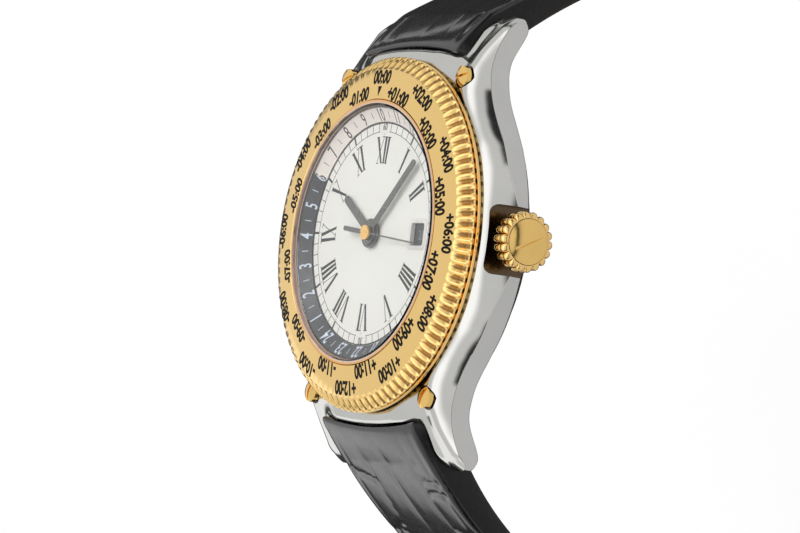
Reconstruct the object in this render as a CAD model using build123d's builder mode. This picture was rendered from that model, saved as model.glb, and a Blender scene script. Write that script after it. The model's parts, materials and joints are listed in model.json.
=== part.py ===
from build123d import *
import math
import os

# World time watch with a fluted turning bezel, a day and night ring, a screw-down back and a pin buckle.
# Millimetres. Origin at the centre of the case back's outer face, +Z out of the dial, +X to the crown,
# +Y to twelve o'clock. The hands stand at seven minutes past ten.

running_gap = 0.05
overrun = 1.0

# Radii from the dial outwards: day and night ring, crystal ring, crystal, bezel, case
dial_radius = 11.45
day_ring_inner = dial_radius + running_gap
day_ring_width = 1.4
day_ring_outer = day_ring_inner + day_ring_width
day_ring_room = 0.15
flange_bore_radius = day_ring_outer + day_ring_room
crystal_ring_wall = 0.5
crystal_ring_radius = flange_bore_radius + crystal_ring_wall
crystal_ring_lip = 0.2
gasket_wall = 0.15
gasket_outer = crystal_ring_radius - crystal_ring_lip
crystal_radius = gasket_outer - gasket_wall
bezel_flat_width = 3.25
bezel_slope_width = 1.4
bezel_groove_depth = 0.65
bezel_edge_radius = crystal_ring_radius + bezel_flat_width
bezel_radius = bezel_edge_radius + bezel_slope_width
bezel_groove_radius = bezel_radius - bezel_groove_depth
rim_margin = 0.2
shoulder_width = 0.9
flank_draw = 0.5
foot_draw = 1.8
rim_radius = bezel_radius + rim_margin
ridge_radius = rim_radius + shoulder_width
flank_foot_radius = ridge_radius - flank_draw
case_bottom_radius = flank_foot_radius - foot_draw
flange_width = 1.35
back_seat_width = 1.15
back_margin = 0.5
movement_bore_radius = flange_bore_radius + flange_width
back_recess_radius = movement_bore_radius + back_seat_width
back_radius = case_bottom_radius - back_margin
movement_ring_wall = 1.5
movement_ring_shelf = 0.75
rotor_margin = 1.3
movement_ring_radius = movement_bore_radius - running_gap
movement_ring_inner = movement_ring_radius - movement_ring_wall
plate_radius = movement_ring_inner - running_gap
movement_ring_shelf_radius = movement_ring_radius - movement_ring_shelf
rotor_radius = movement_ring_shelf_radius - rotor_margin

# Heights from the case back upwards: rotor, bridges, train, main plate, motion works, dial, crystal, bezel
case_bottom = 2.0
back_thickness = 1.1
back_spigot_height = 0.9
back_gasket_height = 0.3
back_recess_top = case_bottom + back_spigot_height + back_gasket_height
rotor_room = 0.3
rotor_thickness = 0.25
rotor_rim_height = 0.75
rotor_clearance = 0.4
rotor_bottom = back_thickness + rotor_room
bridge_thickness = 0.5
bridge_bottom = rotor_bottom + rotor_rim_height + rotor_clearance
bridge_top = bridge_bottom + bridge_thickness
ratchet_level = bridge_top + running_gap
winding_wheel_thickness = 0.25
barrel_bridge_gap = 0.1
barrel_bridge_thickness = 0.45
barrel_bridge_bottom = ratchet_level + winding_wheel_thickness + barrel_bridge_gap
barrel_bridge_top = barrel_bridge_bottom + barrel_bridge_thickness
hairspring_rise = 0.07
balance_rise = 0.4
escape_rise = 0.85
fourth_rise = 1.22
third_rise = 1.57
centre_rise = 1.93
hairspring_level = bridge_top + hairspring_rise
balance_level = bridge_top + balance_rise
escape_level = bridge_top + escape_rise
fourth_level = bridge_top + fourth_rise
third_level = bridge_top + third_rise
centre_level = bridge_top + centre_rise
centre_pinion_rise = 0.22
centre_pinion_height = 0.3
centre_pinion_bottom = centre_level + centre_pinion_rise
centre_pinion_top = centre_pinion_bottom + centre_pinion_height
barrel_height = 1.5
barrel_clearance = 0.15
barrel_bottom = centre_pinion_bottom
barrel_top = barrel_bottom + barrel_height
barrel_pocket_top = barrel_top + barrel_clearance
plate_clearance = 0.1
plate_thickness = 1.5
plate_bottom = centre_pinion_top + plate_clearance
plate_top = plate_bottom + plate_thickness
plate_rim_height = 0.45
plate_rim_top = plate_top + plate_rim_height
stem_drop = 1.0
lever_drop = 0.45
crown_height = plate_bottom - stem_drop
setting_lever_bottom = plate_bottom - lever_drop
movement_ring_foot = 0.1
movement_ring_rise = 0.35
movement_ring_bottom = back_recess_top + movement_ring_foot
movement_ring_top = plate_top + movement_ring_rise
flange_thickness = 0.9
flange_underside = movement_ring_top + running_gap
rim_height = flange_underside + flange_thickness
foot_rise = 1.1
ridge_rise = 3.4
flank_foot = case_bottom + foot_rise
ridge_height = case_bottom + ridge_rise
minute_wheel_rise = 0.08
hour_wheel_rise = 0.6
date_disc_rise = 1.3
date_disc_gap = 0.08
minute_wheel_level = plate_top + minute_wheel_rise
hour_wheel_level = plate_top + hour_wheel_rise
date_disc_top = plate_top + date_disc_rise
dial_thickness = 0.4
dial_top = date_disc_top + date_disc_gap + dial_thickness
day_ring_drop = 0.1
day_ring_rise = 0.07
day_ring_slope = 0.88
day_ring_bottom = hour_wheel_level - day_ring_drop
day_ring_low = dial_top + day_ring_rise
day_ring_top = day_ring_low + day_ring_slope
hour_hand_rise = 0.3
minute_hand_rise = 0.52
second_hand_rise = 0.76
hand_thickness = 0.12
second_cap_height = 0.2
hand_clearance = 0.09
crystal_thickness = 1.1
crystal_ledge_drop = 0.25
crystal_ring_rise = 0.95
crystal_underside = dial_top + second_hand_rise + hand_thickness + second_cap_height + hand_clearance
crystal_ring_ledge = crystal_underside - crystal_ledge_drop
crystal_ring_top = crystal_underside + crystal_ring_rise
bezel_fall = 0.45
bezel_slope_height = 1.3
bezel_top = crystal_ring_top
bezel_edge_top = bezel_top - bezel_fall
bezel_flute_foot = bezel_edge_top - bezel_slope_height

# Case middle
shoulder_bulge = 0.22
end_wall_inset = 0.1
end_wall_reach = ridge_radius - end_wall_inset
end_wall_radius = 50.0
end_wall_drop = 0.35

# Lugs, with each station's shares of the reach, the width and the drop
lug_gap = 18.0
lug_width = 3.9
lug_root = 12.0
lug_tip = 23.2
lug_drop = 7.2
lug_reach_shares = (0.0, 0.24, 0.45, 0.66, 0.85, 0.97)
lug_top_shares = (0.01, 0.015, 0.04, 0.29, 0.53, 0.69)
lug_ridge_shares = (0.39, 0.33, 0.33, 0.40, 0.52, 0.66)
lug_foot_shares = (0.71, 0.68, 0.68, 0.80, 0.97, 0.90)
lug_ridge_width_shares = (1.57, 1.18, 1.01, 0.98, 0.96, 0.88)
lug_foot_width_shares = (1.50, 1.12, 0.96, 0.93, 0.90, 0.80)
lug_crest_shares = (0.62, 0.25)
lug_crown = 0.12

# Lug screws
lug_screw_x = 10.9
lug_screw_y = 16.2
lug_screw_head_radius = 1.1
lug_screw_head_height = 0.5
lug_screw_dome = 0.25
lug_screw_seat_drop = 0.75
lug_screw_shank_radius = 0.5
lug_screw_shank_length = 2.0
screw_slot_width = 0.26
screw_slot_angles = (70.0, 20.0, 60.0, 13.0)
screw_slot_depth = 0.3

# Case back and its gasket
back_face_radius = 14.2
back_spigot_wall = 1.1
back_notch_count = 6
back_notch_width = 2.4
back_notch_depth = 1.0

# Bezel and its click spring
bezel_seat_gap = 0.05
bezel_bore_gap = 0.05
bezel_foot_height = 0.35
flute_count = 100
flute_radius = 0.36
flute_sink = 0.14
spring_groove_inset = 1.65
spring_groove_radius = crystal_ring_radius + spring_groove_inset
spring_groove_width = 1.2
spring_groove_depth = 0.6
click_spring_width = 0.8
click_spring_thickness = 0.25
click_tooth_length = 1.2
click_tooth_height = 0.2

# Crystal with its gasket and the ring that holds it
crystal_chamfer = 0.15
gasket_ledge = 0.25
gasket_floor = 0.1

# Crown, cap, tube and stem
crown_recess_depth = 1.0
crown_seat = 0.9
crown_recess_floor = ridge_radius - crown_recess_depth
crown_inner = crown_recess_floor + crown_seat
crown_length = 2.1
crown_radius = 3.05
crown_lobe_count = 18
crown_lobe_radius = 0.52
crown_core_radius = 2.7
crown_edge = 0.3
crown_bore_radius = 1.6
crown_bore_depth = 1.3
crown_pull = 1.2
crown_cap_radius = 2.3
crown_cap_seat = 0.35
crown_cap_dome = 0.55
crown_slot_width = 0.3
crown_slot_depth = 0.22
crown_slot_angle = 119.0
crown_recess_width = 7.0
crown_recess_rise = 2.85
crown_recess_top = crown_height + crown_recess_rise
crown_recess_corner = 0.9
tube_radius = 1.3
tube_bore_radius = 0.7
tube_inset = 0.5
tube_clearance = 0.2
tube_inner = movement_bore_radius + tube_inset
tube_outer = crown_inner + crown_bore_depth - tube_clearance
crown_gasket_thickness = 0.3
stem_radius = 0.4
stem_inner = 6.4
stem_pilot_radius = 0.25
stem_neck_x = 11.6
stem_neck_length = 0.5
stem_neck_radius = 0.22
stem_pilot_length = 0.9

# Dial
dial_bore_radius = 1.25
date_window_inner = 7.3
date_window_outer = 9.7
date_window_height = 2.3
dial_foot_radius = 0.22
dial_foot_pitch = 10.55
dial_foot_angles = (30.0, 220.0)
dial_foot_sink = 0.6

# Day and night ring
day_ring_skirt_step = 0.25
day_ring_skirt_inner = day_ring_inner + day_ring_skirt_step
day_ring_module = 0.35
day_ring_teeth = 64
day_ring_tooth_height = 0.4

# Hands
hour_angle = 303.7
minute_angle = 44.7
second_angle = 96.1
hour_hand_length = 6.6
hour_hand_width = 0.85
hour_hub_radius = 1.5
minute_hand_length = 10.4
minute_hand_width = 0.75
minute_hub_radius = 1.2
second_hand_length = 9.4
second_hand_width = 0.16
second_tail_length = 4.4
second_tail_width = 0.5
second_cap_radius = 0.75
second_cap_slot = 0.14

# Main plate and movement ring
plate_hole_radius = 0.3
plate_rim_width = 0.3

# Going train, with wheel levels counted up from the case back's outer face
wheel_thickness = 0.15
tooth_top_share = 0.7
tooth_root_share = 1.3
centre_teeth = 64
centre_module = 0.1
centre_pinion_teeth = 10
centre_arbor_radius = 0.5
third_angle = 200.0
third_pinion_teeth = 8
third_teeth = 60
pinion_height = 0.26
fourth_pinion_teeth = 8
fourth_teeth = 70
fourth_module = 0.1
fourth_arbor_radius = 0.18
escape_angle = 250.0
escape_pinion_teeth = 7
escape_teeth = 16
escape_radius = 2.0
escape_root_radius = 1.55
escape_lean_share = 0.25
arbor_radius = 0.2
pivot_radius = 0.12

# Barrel and winding works
barrel_angle = 70.0
barrel_teeth = 72
barrel_module = 0.15
barrel_drum_radius = 5.0
barrel_rim_height = 0.3
barrel_wall = 0.2
barrel_bore_radius = 0.75
barrel_pocket_gap = 0.3
mainspring_turns = 5
mainspring_thickness = 0.14
mainspring_gap = 0.2
barrel_arbor_radius = 0.7
ratchet_teeth = 33
crown_wheel_teeth = 20
crown_wheel_x = 7.4
crown_wheel_boss = 0.8
winding_pinion_x = 9.4
winding_pinion_length = 1.1
winding_pinion_radius = 1.1
winding_pinion_root = 0.85
winding_pinion_teeth = 12
sliding_pinion_x = 7.45
sliding_pinion_radius = 0.62
sliding_pinion_length = 1.9
square_clearance = 0.05
setting_lever_y = 3.2
setting_lever_width = 0.7
setting_lever_thickness = 0.15
setting_pin_radius = 0.12
setting_pin_y = 0.45

# Motion works and day ring drive
motion_module = 0.35
minute_pinion_teeth = 8
hour_teeth = 32
cannon_teeth = 12
minute_wheel_teeth = 36
minute_wheel_angle = 300.0
motion_wheel_thickness = 0.2
ring_drive_teeth = 16
ring_drive_angle = 150.0
hour_pipe_radius = 1.1
hour_pipe_bore = 0.83
cannon_radius = 0.78
centre_bore = 0.24

# Date disc
date_disc_inner = 6.85
date_disc_outer = 10.2
date_disc_thickness = 0.15
date_teeth = 31
date_tooth_depth = 0.5

# Balance, hairspring and pallet fork
balance_x = -4.6
balance_y = -7.2
balance_radius = 3.5
balance_rim_width = 0.45
balance_rim_height = 0.35
balance_arm_width = 0.5
roller_radius = 0.7
hairspring_turns = 4
hairspring_inner = 0.5
hairspring_outer = 1.9
hairspring_thickness = 0.08
hairspring_height = 0.18
pallet_reach = 2.75
pallet_arm = 1.25
pallet_arm_width = 0.35
fork_length = 1.15

# Bridges
train_bridge_radius = 4.4
bridge_pillar_reach = 10.8
bridge_pad_radius = 1.2
cock_foot_angle = 200.0
cock_pad_radius = 1.4
barrel_bridge_radius = 3.0
barrel_pillar_reach = 11.6
barrel_pillar_angles = (30.0, 125.0)
bridge_pillar_angles = (165.0, 285.0)
cock_foot_reach = 11.4
clamp_angles = (300.0, 140.0)
clamp_overhang = 0.6
pillar_radius = 0.9
jewel_radius = 0.45
plate_screw_head_radius = 0.65
plate_screw_head_height = 0.3
clamp_length = 2.2
clamp_width = 1.4
clamp_thickness = 0.3

# Rotor and its bearing
rotor_rim_inner = 9.8
rotor_hub_radius = 2.3
bearing_radius = 1.7
bearing_hole_radius = 1.75
bearing_flange_radius = 2.2

# Strap, spring bars and buckle
spring_bar_inset = 1.7
spring_bar_drop = 5.7
spring_bar_y = lug_tip - spring_bar_inset
spring_bar_height = rim_height - spring_bar_drop
spring_bar_radius = 0.75
spring_bar_tip_radius = 0.4
spring_bar_tip_length = 1.0
spring_bar_end_gap = 0.1
strap_width = 17.6
strap_buckle_width = 16.0
strap_thickness = 3.4
strap_tail_thickness = 2.2
strap_bore_gap = 0.05
strap_12_lean = 50.0
strap_12_radius = 62.0
strap_12_bend = 20.0
strap_12_bend_angle = 85.0
strap_12_end = 2.0
strap_6_lean = 34.0
strap_6_radius = 33.0
strap_6_straight = 27.0
strap_6_bend = 20.0
strap_6_flat = 24.3
strap_hole_count = 7
strap_tip_radius = 11.0
strap_hole_radius = 0.9
strap_hole_pitch = 6.2
strap_first_hole = 9.0
buckle_wire = 1.1
buckle_back = 1.6
buckle_corner = 3.0
buckle_inner_corner = 1.2
buckle_round_share = 0.6
buckle_bar_gap = 0.3
buckle_tip_radius = 0.45
buckle_loop_radius = 1.7
buckle_length = 12.0
buckle_outer_width = 20.5
buckle_bar_radius = 0.7
tongue_width = 1.8
tongue_slot_length = 4.0
tongue_thickness = 0.9
keeper_thickness = 1.0
keeper_width = 4.5
fixed_keeper_angle = 66.0
fixed_keeper_gap = 0.15
keeper_room = 2.6
loose_keeper_angle = 33.0
loose_keeper_gap = 0.3
tongue_reach = 11.0

os.makedirs("parts", exist_ok=True)


def polar(radius, degrees):
    """A point at a radius, and at an angle from +X."""
    return (radius * math.cos(math.radians(degrees)), radius * math.sin(math.radians(degrees)))


def save(builder, label):
    """Name a finished piece and write it."""
    builder.part.label = label
    export_step(builder.part, f"parts/{label}.step")


def disc(outer, bottom, top, inner=0.0, centre=(0, 0), mode=Mode.ADD):
    """A round plate or ring about a vertical axis."""
    with BuildSketch(Plane.XY.offset(bottom)) as face:
        with Locations(centre):
            Circle(outer)
            if inner:
                Circle(inner, mode=Mode.SUBTRACT)
    extrude(face.sketch, amount=top - bottom, mode=mode)


def rod(radius, start, end, inner=0.0, mode=Mode.ADD):
    """A round length on the crown's axis, from one distance out to another."""
    with BuildSketch(Plane.YZ.offset(start)) as face:
        with Locations((0, crown_height)):
            Circle(radius)
            if inner:
                Circle(inner, mode=Mode.SUBTRACT)
    extrude(face.sketch, amount=end - start, mode=mode)


def turned(corners, mode=Mode.ADD):
    """A body turned about Z from corners of radius and height."""
    with BuildSketch(Plane.XZ) as section:
        with BuildLine():
            Polyline(*corners, close=True)
        make_face()
    revolve(section.sketch, axis=Axis.Z, mode=mode)


def gear(teeth, module, bottom, top, centre=(0, 0), phase=0.0):
    """A wheel of flat-sided teeth, with a tooth's tip at the phase angle."""
    pitch_radius = module * teeth / 2
    tip = pitch_radius + tooth_top_share * module
    root = pitch_radius - tooth_root_share * module
    corners = []
    for tooth in range(teeth):
        angle = phase + 360 * tooth / teeth
        corners.append(polar(tip, angle))
        corners.append(polar(root, angle + 180 / teeth))
    with BuildSketch(Plane.XY.offset(bottom)) as outline:
        with BuildLine():
            Polyline(*[(x + centre[0], y + centre[1]) for x, y in corners], close=True)
        make_face()
    extrude(outline.sketch, amount=top - bottom)


def mating_phase(phase, teeth, direction, mate_teeth):
    """The tip angle of a wheel that meshes with another one in the given direction."""
    turn = (direction - phase) / 360 * teeth
    return direction + 180 + 360 * turn / mate_teeth + 180 / mate_teeth


def spiral(inner, outer, turns, thickness, bottom, top, centre=(0, 0), sides=12):
    """A flat spring of straight facets, wound from its inner to its outer end."""
    steps = turns * sides
    near = []
    far = []
    for step in range(steps + 1):
        radius = inner + (outer - inner) * step / steps
        near.append(polar(radius, 360 * step / sides))
        far.append(polar(radius + thickness, 360 * step / sides))
    ring = near + far[::-1]
    with BuildSketch(Plane.XY.offset(bottom)) as outline:
        with BuildLine():
            Polyline(*[(x + centre[0], y + centre[1]) for x, y in ring], close=True)
        make_face()
    extrude(outline.sketch, amount=top - bottom)


# Case middle: a turned body, two end walls and four lofted lugs
flank_inner = lug_gap / 2

with BuildPart() as lug:
    stations = zip(
        lug_reach_shares, lug_top_shares, lug_ridge_shares, lug_foot_shares,
        lug_ridge_width_shares, lug_foot_width_shares,
    )
    for reach, top, ridge, foot, ridge_width, foot_width in stations:
        station_y = lug_root + (lug_tip - lug_root) * reach
        with BuildSketch(Plane.XZ.offset(-station_y)):
            with BuildLine():
                inner_top = (flank_inner, rim_height - lug_drop * top)
                outer_ridge = (flank_inner + lug_width * ridge_width, rim_height - lug_drop * ridge)
                outer_foot = (flank_inner + lug_width * foot_width, rim_height - lug_drop * foot)
                inner_foot = (flank_inner, rim_height - lug_drop * foot)
                crest = (
                    inner_top[0] + (outer_ridge[0] - inner_top[0]) * lug_crest_shares[0],
                    inner_top[1] + (outer_ridge[1] - inner_top[1]) * lug_crest_shares[1] + lug_crown,
                )
                ThreePointArc(inner_top, crest, outer_ridge)
                Polyline(outer_ridge, outer_foot, inner_foot, inner_top)
            make_face()
    loft()

with BuildPart() as case_middle:
    with BuildSketch(Plane.XZ):
        with BuildLine():
            Polyline(
                (rim_radius, rim_height),
                (flange_bore_radius, rim_height),
                (flange_bore_radius, flange_underside),
                (movement_bore_radius, flange_underside),
                (movement_bore_radius, back_recess_top),
                (back_recess_radius, back_recess_top),
                (back_recess_radius, case_bottom),
                (case_bottom_radius, case_bottom),
                (flank_foot_radius, flank_foot),
                (ridge_radius, ridge_height),
            )
            SagittaArc((ridge_radius, ridge_height), (rim_radius, rim_height), shoulder_bulge)
        make_face()
    revolve(axis=Axis.Z)
    end_wall_bottom = back_recess_top + end_wall_drop
    end_wall_top = rim_height - end_wall_drop
    end_wall_root = back_recess_radius + end_wall_drop
    with BuildSketch(Plane.XY.offset(end_wall_bottom)):
        with BuildLine():
            side = end_wall_reach - end_wall_radius + math.sqrt(end_wall_radius**2 - flank_inner**2)
            ThreePointArc((-flank_inner, side), (0, end_wall_reach), (flank_inner, side))
            Polyline((flank_inner, side), (flank_inner, end_wall_root), (-flank_inner, end_wall_root),
                     (-flank_inner, side))
        make_face()
        mirror(about=Plane.XZ)
    extrude(amount=end_wall_top - end_wall_bottom)
    add(lug.part)
    add(mirror(lug.part, about=Plane.YZ, mode=Mode.PRIVATE))
    add(mirror(lug.part, about=Plane.XZ, mode=Mode.PRIVATE))
    add(mirror(mirror(lug.part, about=Plane.YZ, mode=Mode.PRIVATE), about=Plane.XZ, mode=Mode.PRIVATE))
    disc(lug_tip * 2, rim_height, rim_height + overrun, mode=Mode.SUBTRACT)
    # Click spring groove, crown recess and tube hole, lug screw seats and spring bar holes
    disc(spring_groove_radius + spring_groove_width, rim_height - spring_groove_depth, rim_height,
         inner=spring_groove_radius, mode=Mode.SUBTRACT)
    recess_low = crown_height * 2 - crown_recess_top - overrun
    with BuildSketch(Plane.YZ.offset(crown_recess_floor)) as recess:
        with Locations((0, (crown_recess_top + recess_low) / 2)):
            RectangleRounded(crown_recess_width, crown_recess_top - recess_low, crown_recess_corner)
    extrude(recess.sketch, amount=ridge_radius, mode=Mode.SUBTRACT)
    rod(tube_radius, 0, crown_recess_floor, mode=Mode.SUBTRACT)
    lug_screw_places = [(x, y) for x in (-lug_screw_x, lug_screw_x) for y in (-lug_screw_y, lug_screw_y)]
    lug_screw_seat = rim_height - lug_screw_seat_drop
    for place in lug_screw_places:
        disc(lug_screw_head_radius + running_gap, lug_screw_seat, rim_height, centre=place,
             mode=Mode.SUBTRACT)
        disc(lug_screw_shank_radius, lug_screw_seat - lug_screw_shank_length, lug_screw_seat, centre=place,
             mode=Mode.SUBTRACT)
    for bar_y in (-spring_bar_y, spring_bar_y):
        with BuildSketch(Plane.YZ) as bar_hole:
            with Locations((bar_y, spring_bar_height)):
                Circle(spring_bar_tip_radius + running_gap)
        extrude(bar_hole.sketch, amount=flank_inner + spring_bar_tip_length + spring_bar_end_gap, both=True,
                mode=Mode.SUBTRACT)
save(case_middle, "case_middle")

with BuildPart() as case_screws:
    for place, slot_angle in zip(lug_screw_places, screw_slot_angles):
        disc(lug_screw_shank_radius, lug_screw_seat - lug_screw_shank_length, lug_screw_seat, centre=place)
        with BuildSketch(Plane.XZ.offset(-place[1])) as head:
            with BuildLine():
                head_foot = (place[0], lug_screw_seat)
                head_side = (place[0] + lug_screw_head_radius, lug_screw_seat)
                head_shoulder = (head_side[0], lug_screw_seat + lug_screw_head_height)
                head_crown = (place[0], head_shoulder[1] + lug_screw_dome)
                Polyline(head_crown, head_foot, head_side, head_shoulder)
                TangentArc(head_crown, head_shoulder, tangent=(1, 0))
            make_face()
        revolve(head.sketch, axis=Axis((place[0], place[1], 0), (0, 0, 1)))
        slot_top = lug_screw_seat + lug_screw_head_height + lug_screw_dome
        with BuildSketch(Plane.XY.offset(slot_top)) as slot:
            with Locations(Location((place[0], place[1]), slot_angle)):
                Rectangle(lug_screw_head_radius * 2 + overrun, screw_slot_width)
        extrude(slot.sketch, amount=-screw_slot_depth, mode=Mode.SUBTRACT)
save(case_screws, "case_screws")

# Case back: a dished plate with wrench notches, a spigot and a flat gasket
with BuildPart() as case_back:
    spigot_radius = back_recess_radius - running_gap
    turned([
        (0, 0), (back_face_radius, 0), (back_radius, case_bottom - running_gap), (back_radius, case_bottom),
        (spigot_radius, case_bottom), (spigot_radius, case_bottom + back_spigot_height),
        (spigot_radius - back_spigot_wall, case_bottom + back_spigot_height),
        (spigot_radius - back_spigot_wall, back_thickness), (0, back_thickness),
    ])
    with BuildSketch() as notches:
        with PolarLocations(back_radius, back_notch_count):
            Rectangle(back_notch_depth * 2, back_notch_width)
    extrude(notches.sketch, amount=case_bottom - running_gap, mode=Mode.SUBTRACT)
save(case_back, "case_back")

with BuildPart() as case_back_gasket:
    gasket_bottom = case_bottom + back_spigot_height
    disc(spigot_radius, gasket_bottom, back_recess_top, inner=spigot_radius - back_spigot_wall)
save(case_back_gasket, "case_back_gasket")

# Bezel: a turned ring with a row of flutes cut along its outer slope
bezel_bore = crystal_ring_radius + bezel_bore_gap
bezel_bottom = rim_height + bezel_seat_gap
flute_rise = bezel_edge_top - bezel_flute_foot
flute_run = bezel_radius - bezel_edge_radius
flute_length = math.hypot(flute_rise, flute_run)

flute_plane = Plane(
    origin=(bezel_edge_radius - flute_run / 2, 0, bezel_edge_top + flute_rise / 2),
    x_dir=(0, 1, 0), z_dir=(flute_run, 0, -flute_rise),
)
with BuildPart() as flute:
    with BuildSketch(flute_plane):
        with Locations((0, flute_radius - flute_sink)):
            Circle(flute_radius)
    extrude(amount=flute_length * 2)

with BuildPart() as bezel:
    turned([
        (bezel_bore, bezel_bottom), (bezel_groove_radius, bezel_bottom),
        (bezel_groove_radius, bezel_flute_foot - bezel_foot_height),
        (bezel_radius, bezel_flute_foot - bezel_foot_height),
        (bezel_radius, bezel_flute_foot), (bezel_edge_radius, bezel_edge_top), (bezel_bore, bezel_top),
    ])
    with PolarLocations(0, flute_count):
        add(flute.part, mode=Mode.SUBTRACT)
save(bezel, "bezel")

# Click spring: a flat ring with a raised tooth, lying in its groove under the bezel
with BuildPart() as bezel_click_spring:
    groove_floor = rim_height - spring_groove_depth
    spring_inner = spring_groove_radius + (spring_groove_width - click_spring_width) / 2
    disc(spring_inner + click_spring_width, groove_floor, groove_floor + click_spring_thickness,
         inner=spring_inner)
    with BuildSketch(Plane.XY.offset(groove_floor + click_spring_thickness)) as tooth:
        with PolarLocations(spring_inner + click_spring_width / 2, 1):
            Rectangle(click_spring_width / 2, click_tooth_length)
    extrude(tooth.sketch, amount=click_tooth_height)
save(bezel_click_spring, "bezel_click_spring")

# Crystal, its gasket and the ring that holds both
with BuildPart() as crystal:
    crystal_top = crystal_underside + crystal_thickness
    turned([
        (0, crystal_underside), (crystal_radius, crystal_underside),
        (crystal_radius, crystal_top - crystal_chamfer),
        (crystal_radius - crystal_chamfer, crystal_top), (0, crystal_top),
    ])
save(crystal, "crystal")

with BuildPart() as crystal_gasket:
    turned([
        (crystal_radius - gasket_ledge, crystal_underside - gasket_floor),
        (gasket_outer, crystal_underside - gasket_floor), (gasket_outer, crystal_ring_top),
        (crystal_radius, crystal_ring_top), (crystal_radius, crystal_underside),
        (crystal_radius - gasket_ledge, crystal_underside),
    ])
save(crystal_gasket, "crystal_gasket")

with BuildPart() as crystal_ring:
    turned([
        (crystal_ring_radius, rim_height), (crystal_ring_radius, crystal_ring_top),
        (gasket_outer, crystal_ring_top),
        (gasket_outer, crystal_underside - gasket_floor),
        (crystal_radius - gasket_ledge, crystal_underside - gasket_floor),
        (crystal_ring_radius - crystal_ring_wall, crystal_ring_ledge),
        (crystal_ring_radius - crystal_ring_wall, rim_height),
    ])
save(crystal_ring, "crystal_ring")

# Crown: a lobed barrel with rounded ends, its cap, its tube and gasket, and the winding stem
crown_outer = crown_inner + crown_length
with BuildPart() as crown:
    with BuildSketch(Plane.YZ.offset(crown_inner)):
        with Locations((0, crown_height)):
            Circle(crown_core_radius)
            with PolarLocations(crown_radius - crown_lobe_radius, crown_lobe_count):
                Circle(crown_lobe_radius)
    extrude(amount=crown_length)
    with BuildSketch(Plane.XZ) as profile:
        with BuildLine():
            crown_side = crown_height + crown_radius
            Polyline(
                (crown_outer, crown_side - crown_edge * 2), (crown_outer, crown_height),
                (crown_inner, crown_height), (crown_inner, crown_side - crown_edge),
                (crown_inner + crown_edge, crown_side), (crown_outer - crown_edge * 2, crown_side),
            )
            TangentArc((crown_outer - crown_edge * 2, crown_side), (crown_outer, crown_side - crown_edge * 2),
                       tangent=(1, 0))
        make_face()
    revolve(profile.sketch, axis=Axis((0, 0, crown_height), (1, 0, 0)), mode=Mode.INTERSECT)
    rod(crown_bore_radius, crown_inner, crown_inner + crown_bore_depth, mode=Mode.SUBTRACT)
    rod(crown_cap_radius, crown_outer - crown_cap_seat, crown_outer, mode=Mode.SUBTRACT)
save(crown, "crown")

with BuildPart() as crown_cap:
    cap_foot = crown_outer - crown_cap_seat
    cap_peak = (crown_outer + crown_cap_dome, crown_height)
    cap_side = (crown_outer, crown_height + crown_cap_radius)
    with BuildSketch(Plane.XZ) as profile:
        with BuildLine():
            Polyline(cap_peak, (cap_foot, crown_height), (cap_foot, cap_side[1]), cap_side)
            TangentArc(cap_peak, cap_side, tangent=(0, 1))
        make_face()
    revolve(profile.sketch, axis=Axis((0, 0, crown_height), (1, 0, 0)))
    with BuildSketch(Plane.YZ.offset(crown_outer + crown_cap_dome)) as slot:
        with Locations(Location((0, crown_height), crown_slot_angle)):
            Rectangle(crown_cap_radius * 2 + overrun, crown_slot_width)
    extrude(slot.sketch, amount=-(crown_cap_dome - crown_slot_depth), mode=Mode.SUBTRACT)
save(crown_cap, "crown_cap")

with BuildPart() as crown_tube:
    rod(tube_radius, tube_inner, tube_outer, inner=tube_bore_radius)
save(crown_tube, "crown_tube")

with BuildPart() as crown_gasket:
    gasket_start = crown_inner + crown_bore_depth - running_gap * 2 - crown_gasket_thickness - crown_pull / 2
    rod(crown_bore_radius - running_gap, gasket_start, gasket_start + crown_gasket_thickness,
        inner=tube_radius + running_gap)
save(crown_gasket, "crown_gasket")

with BuildPart() as winding_stem:
    rod(stem_radius, stem_inner, stem_neck_x)
    rod(stem_pilot_radius, stem_inner - stem_pilot_length, stem_inner)
    rod(stem_neck_radius, stem_neck_x, stem_neck_x + stem_neck_length)
    rod(stem_radius, stem_neck_x + stem_neck_length, crown_inner + crown_bore_depth)
save(winding_stem, "winding_stem")

# Dial with its date window and feet
dial_foot_places = [polar(dial_foot_pitch, angle) for angle in dial_foot_angles]
with BuildPart() as dial:
    dial_bottom = dial_top - dial_thickness
    disc(dial_radius, dial_bottom, dial_top, inner=dial_bore_radius)
    with BuildSketch(Plane.XY.offset(dial_top)) as window:
        with Locations(((date_window_inner + date_window_outer) / 2, 0)):
            Rectangle(date_window_outer - date_window_inner, date_window_height)
    extrude(window.sketch, amount=-dial_thickness, mode=Mode.SUBTRACT)
    for place in dial_foot_places:
        disc(dial_foot_radius, plate_top - dial_foot_sink, dial_bottom, centre=place)
save(dial, "dial")

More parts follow.
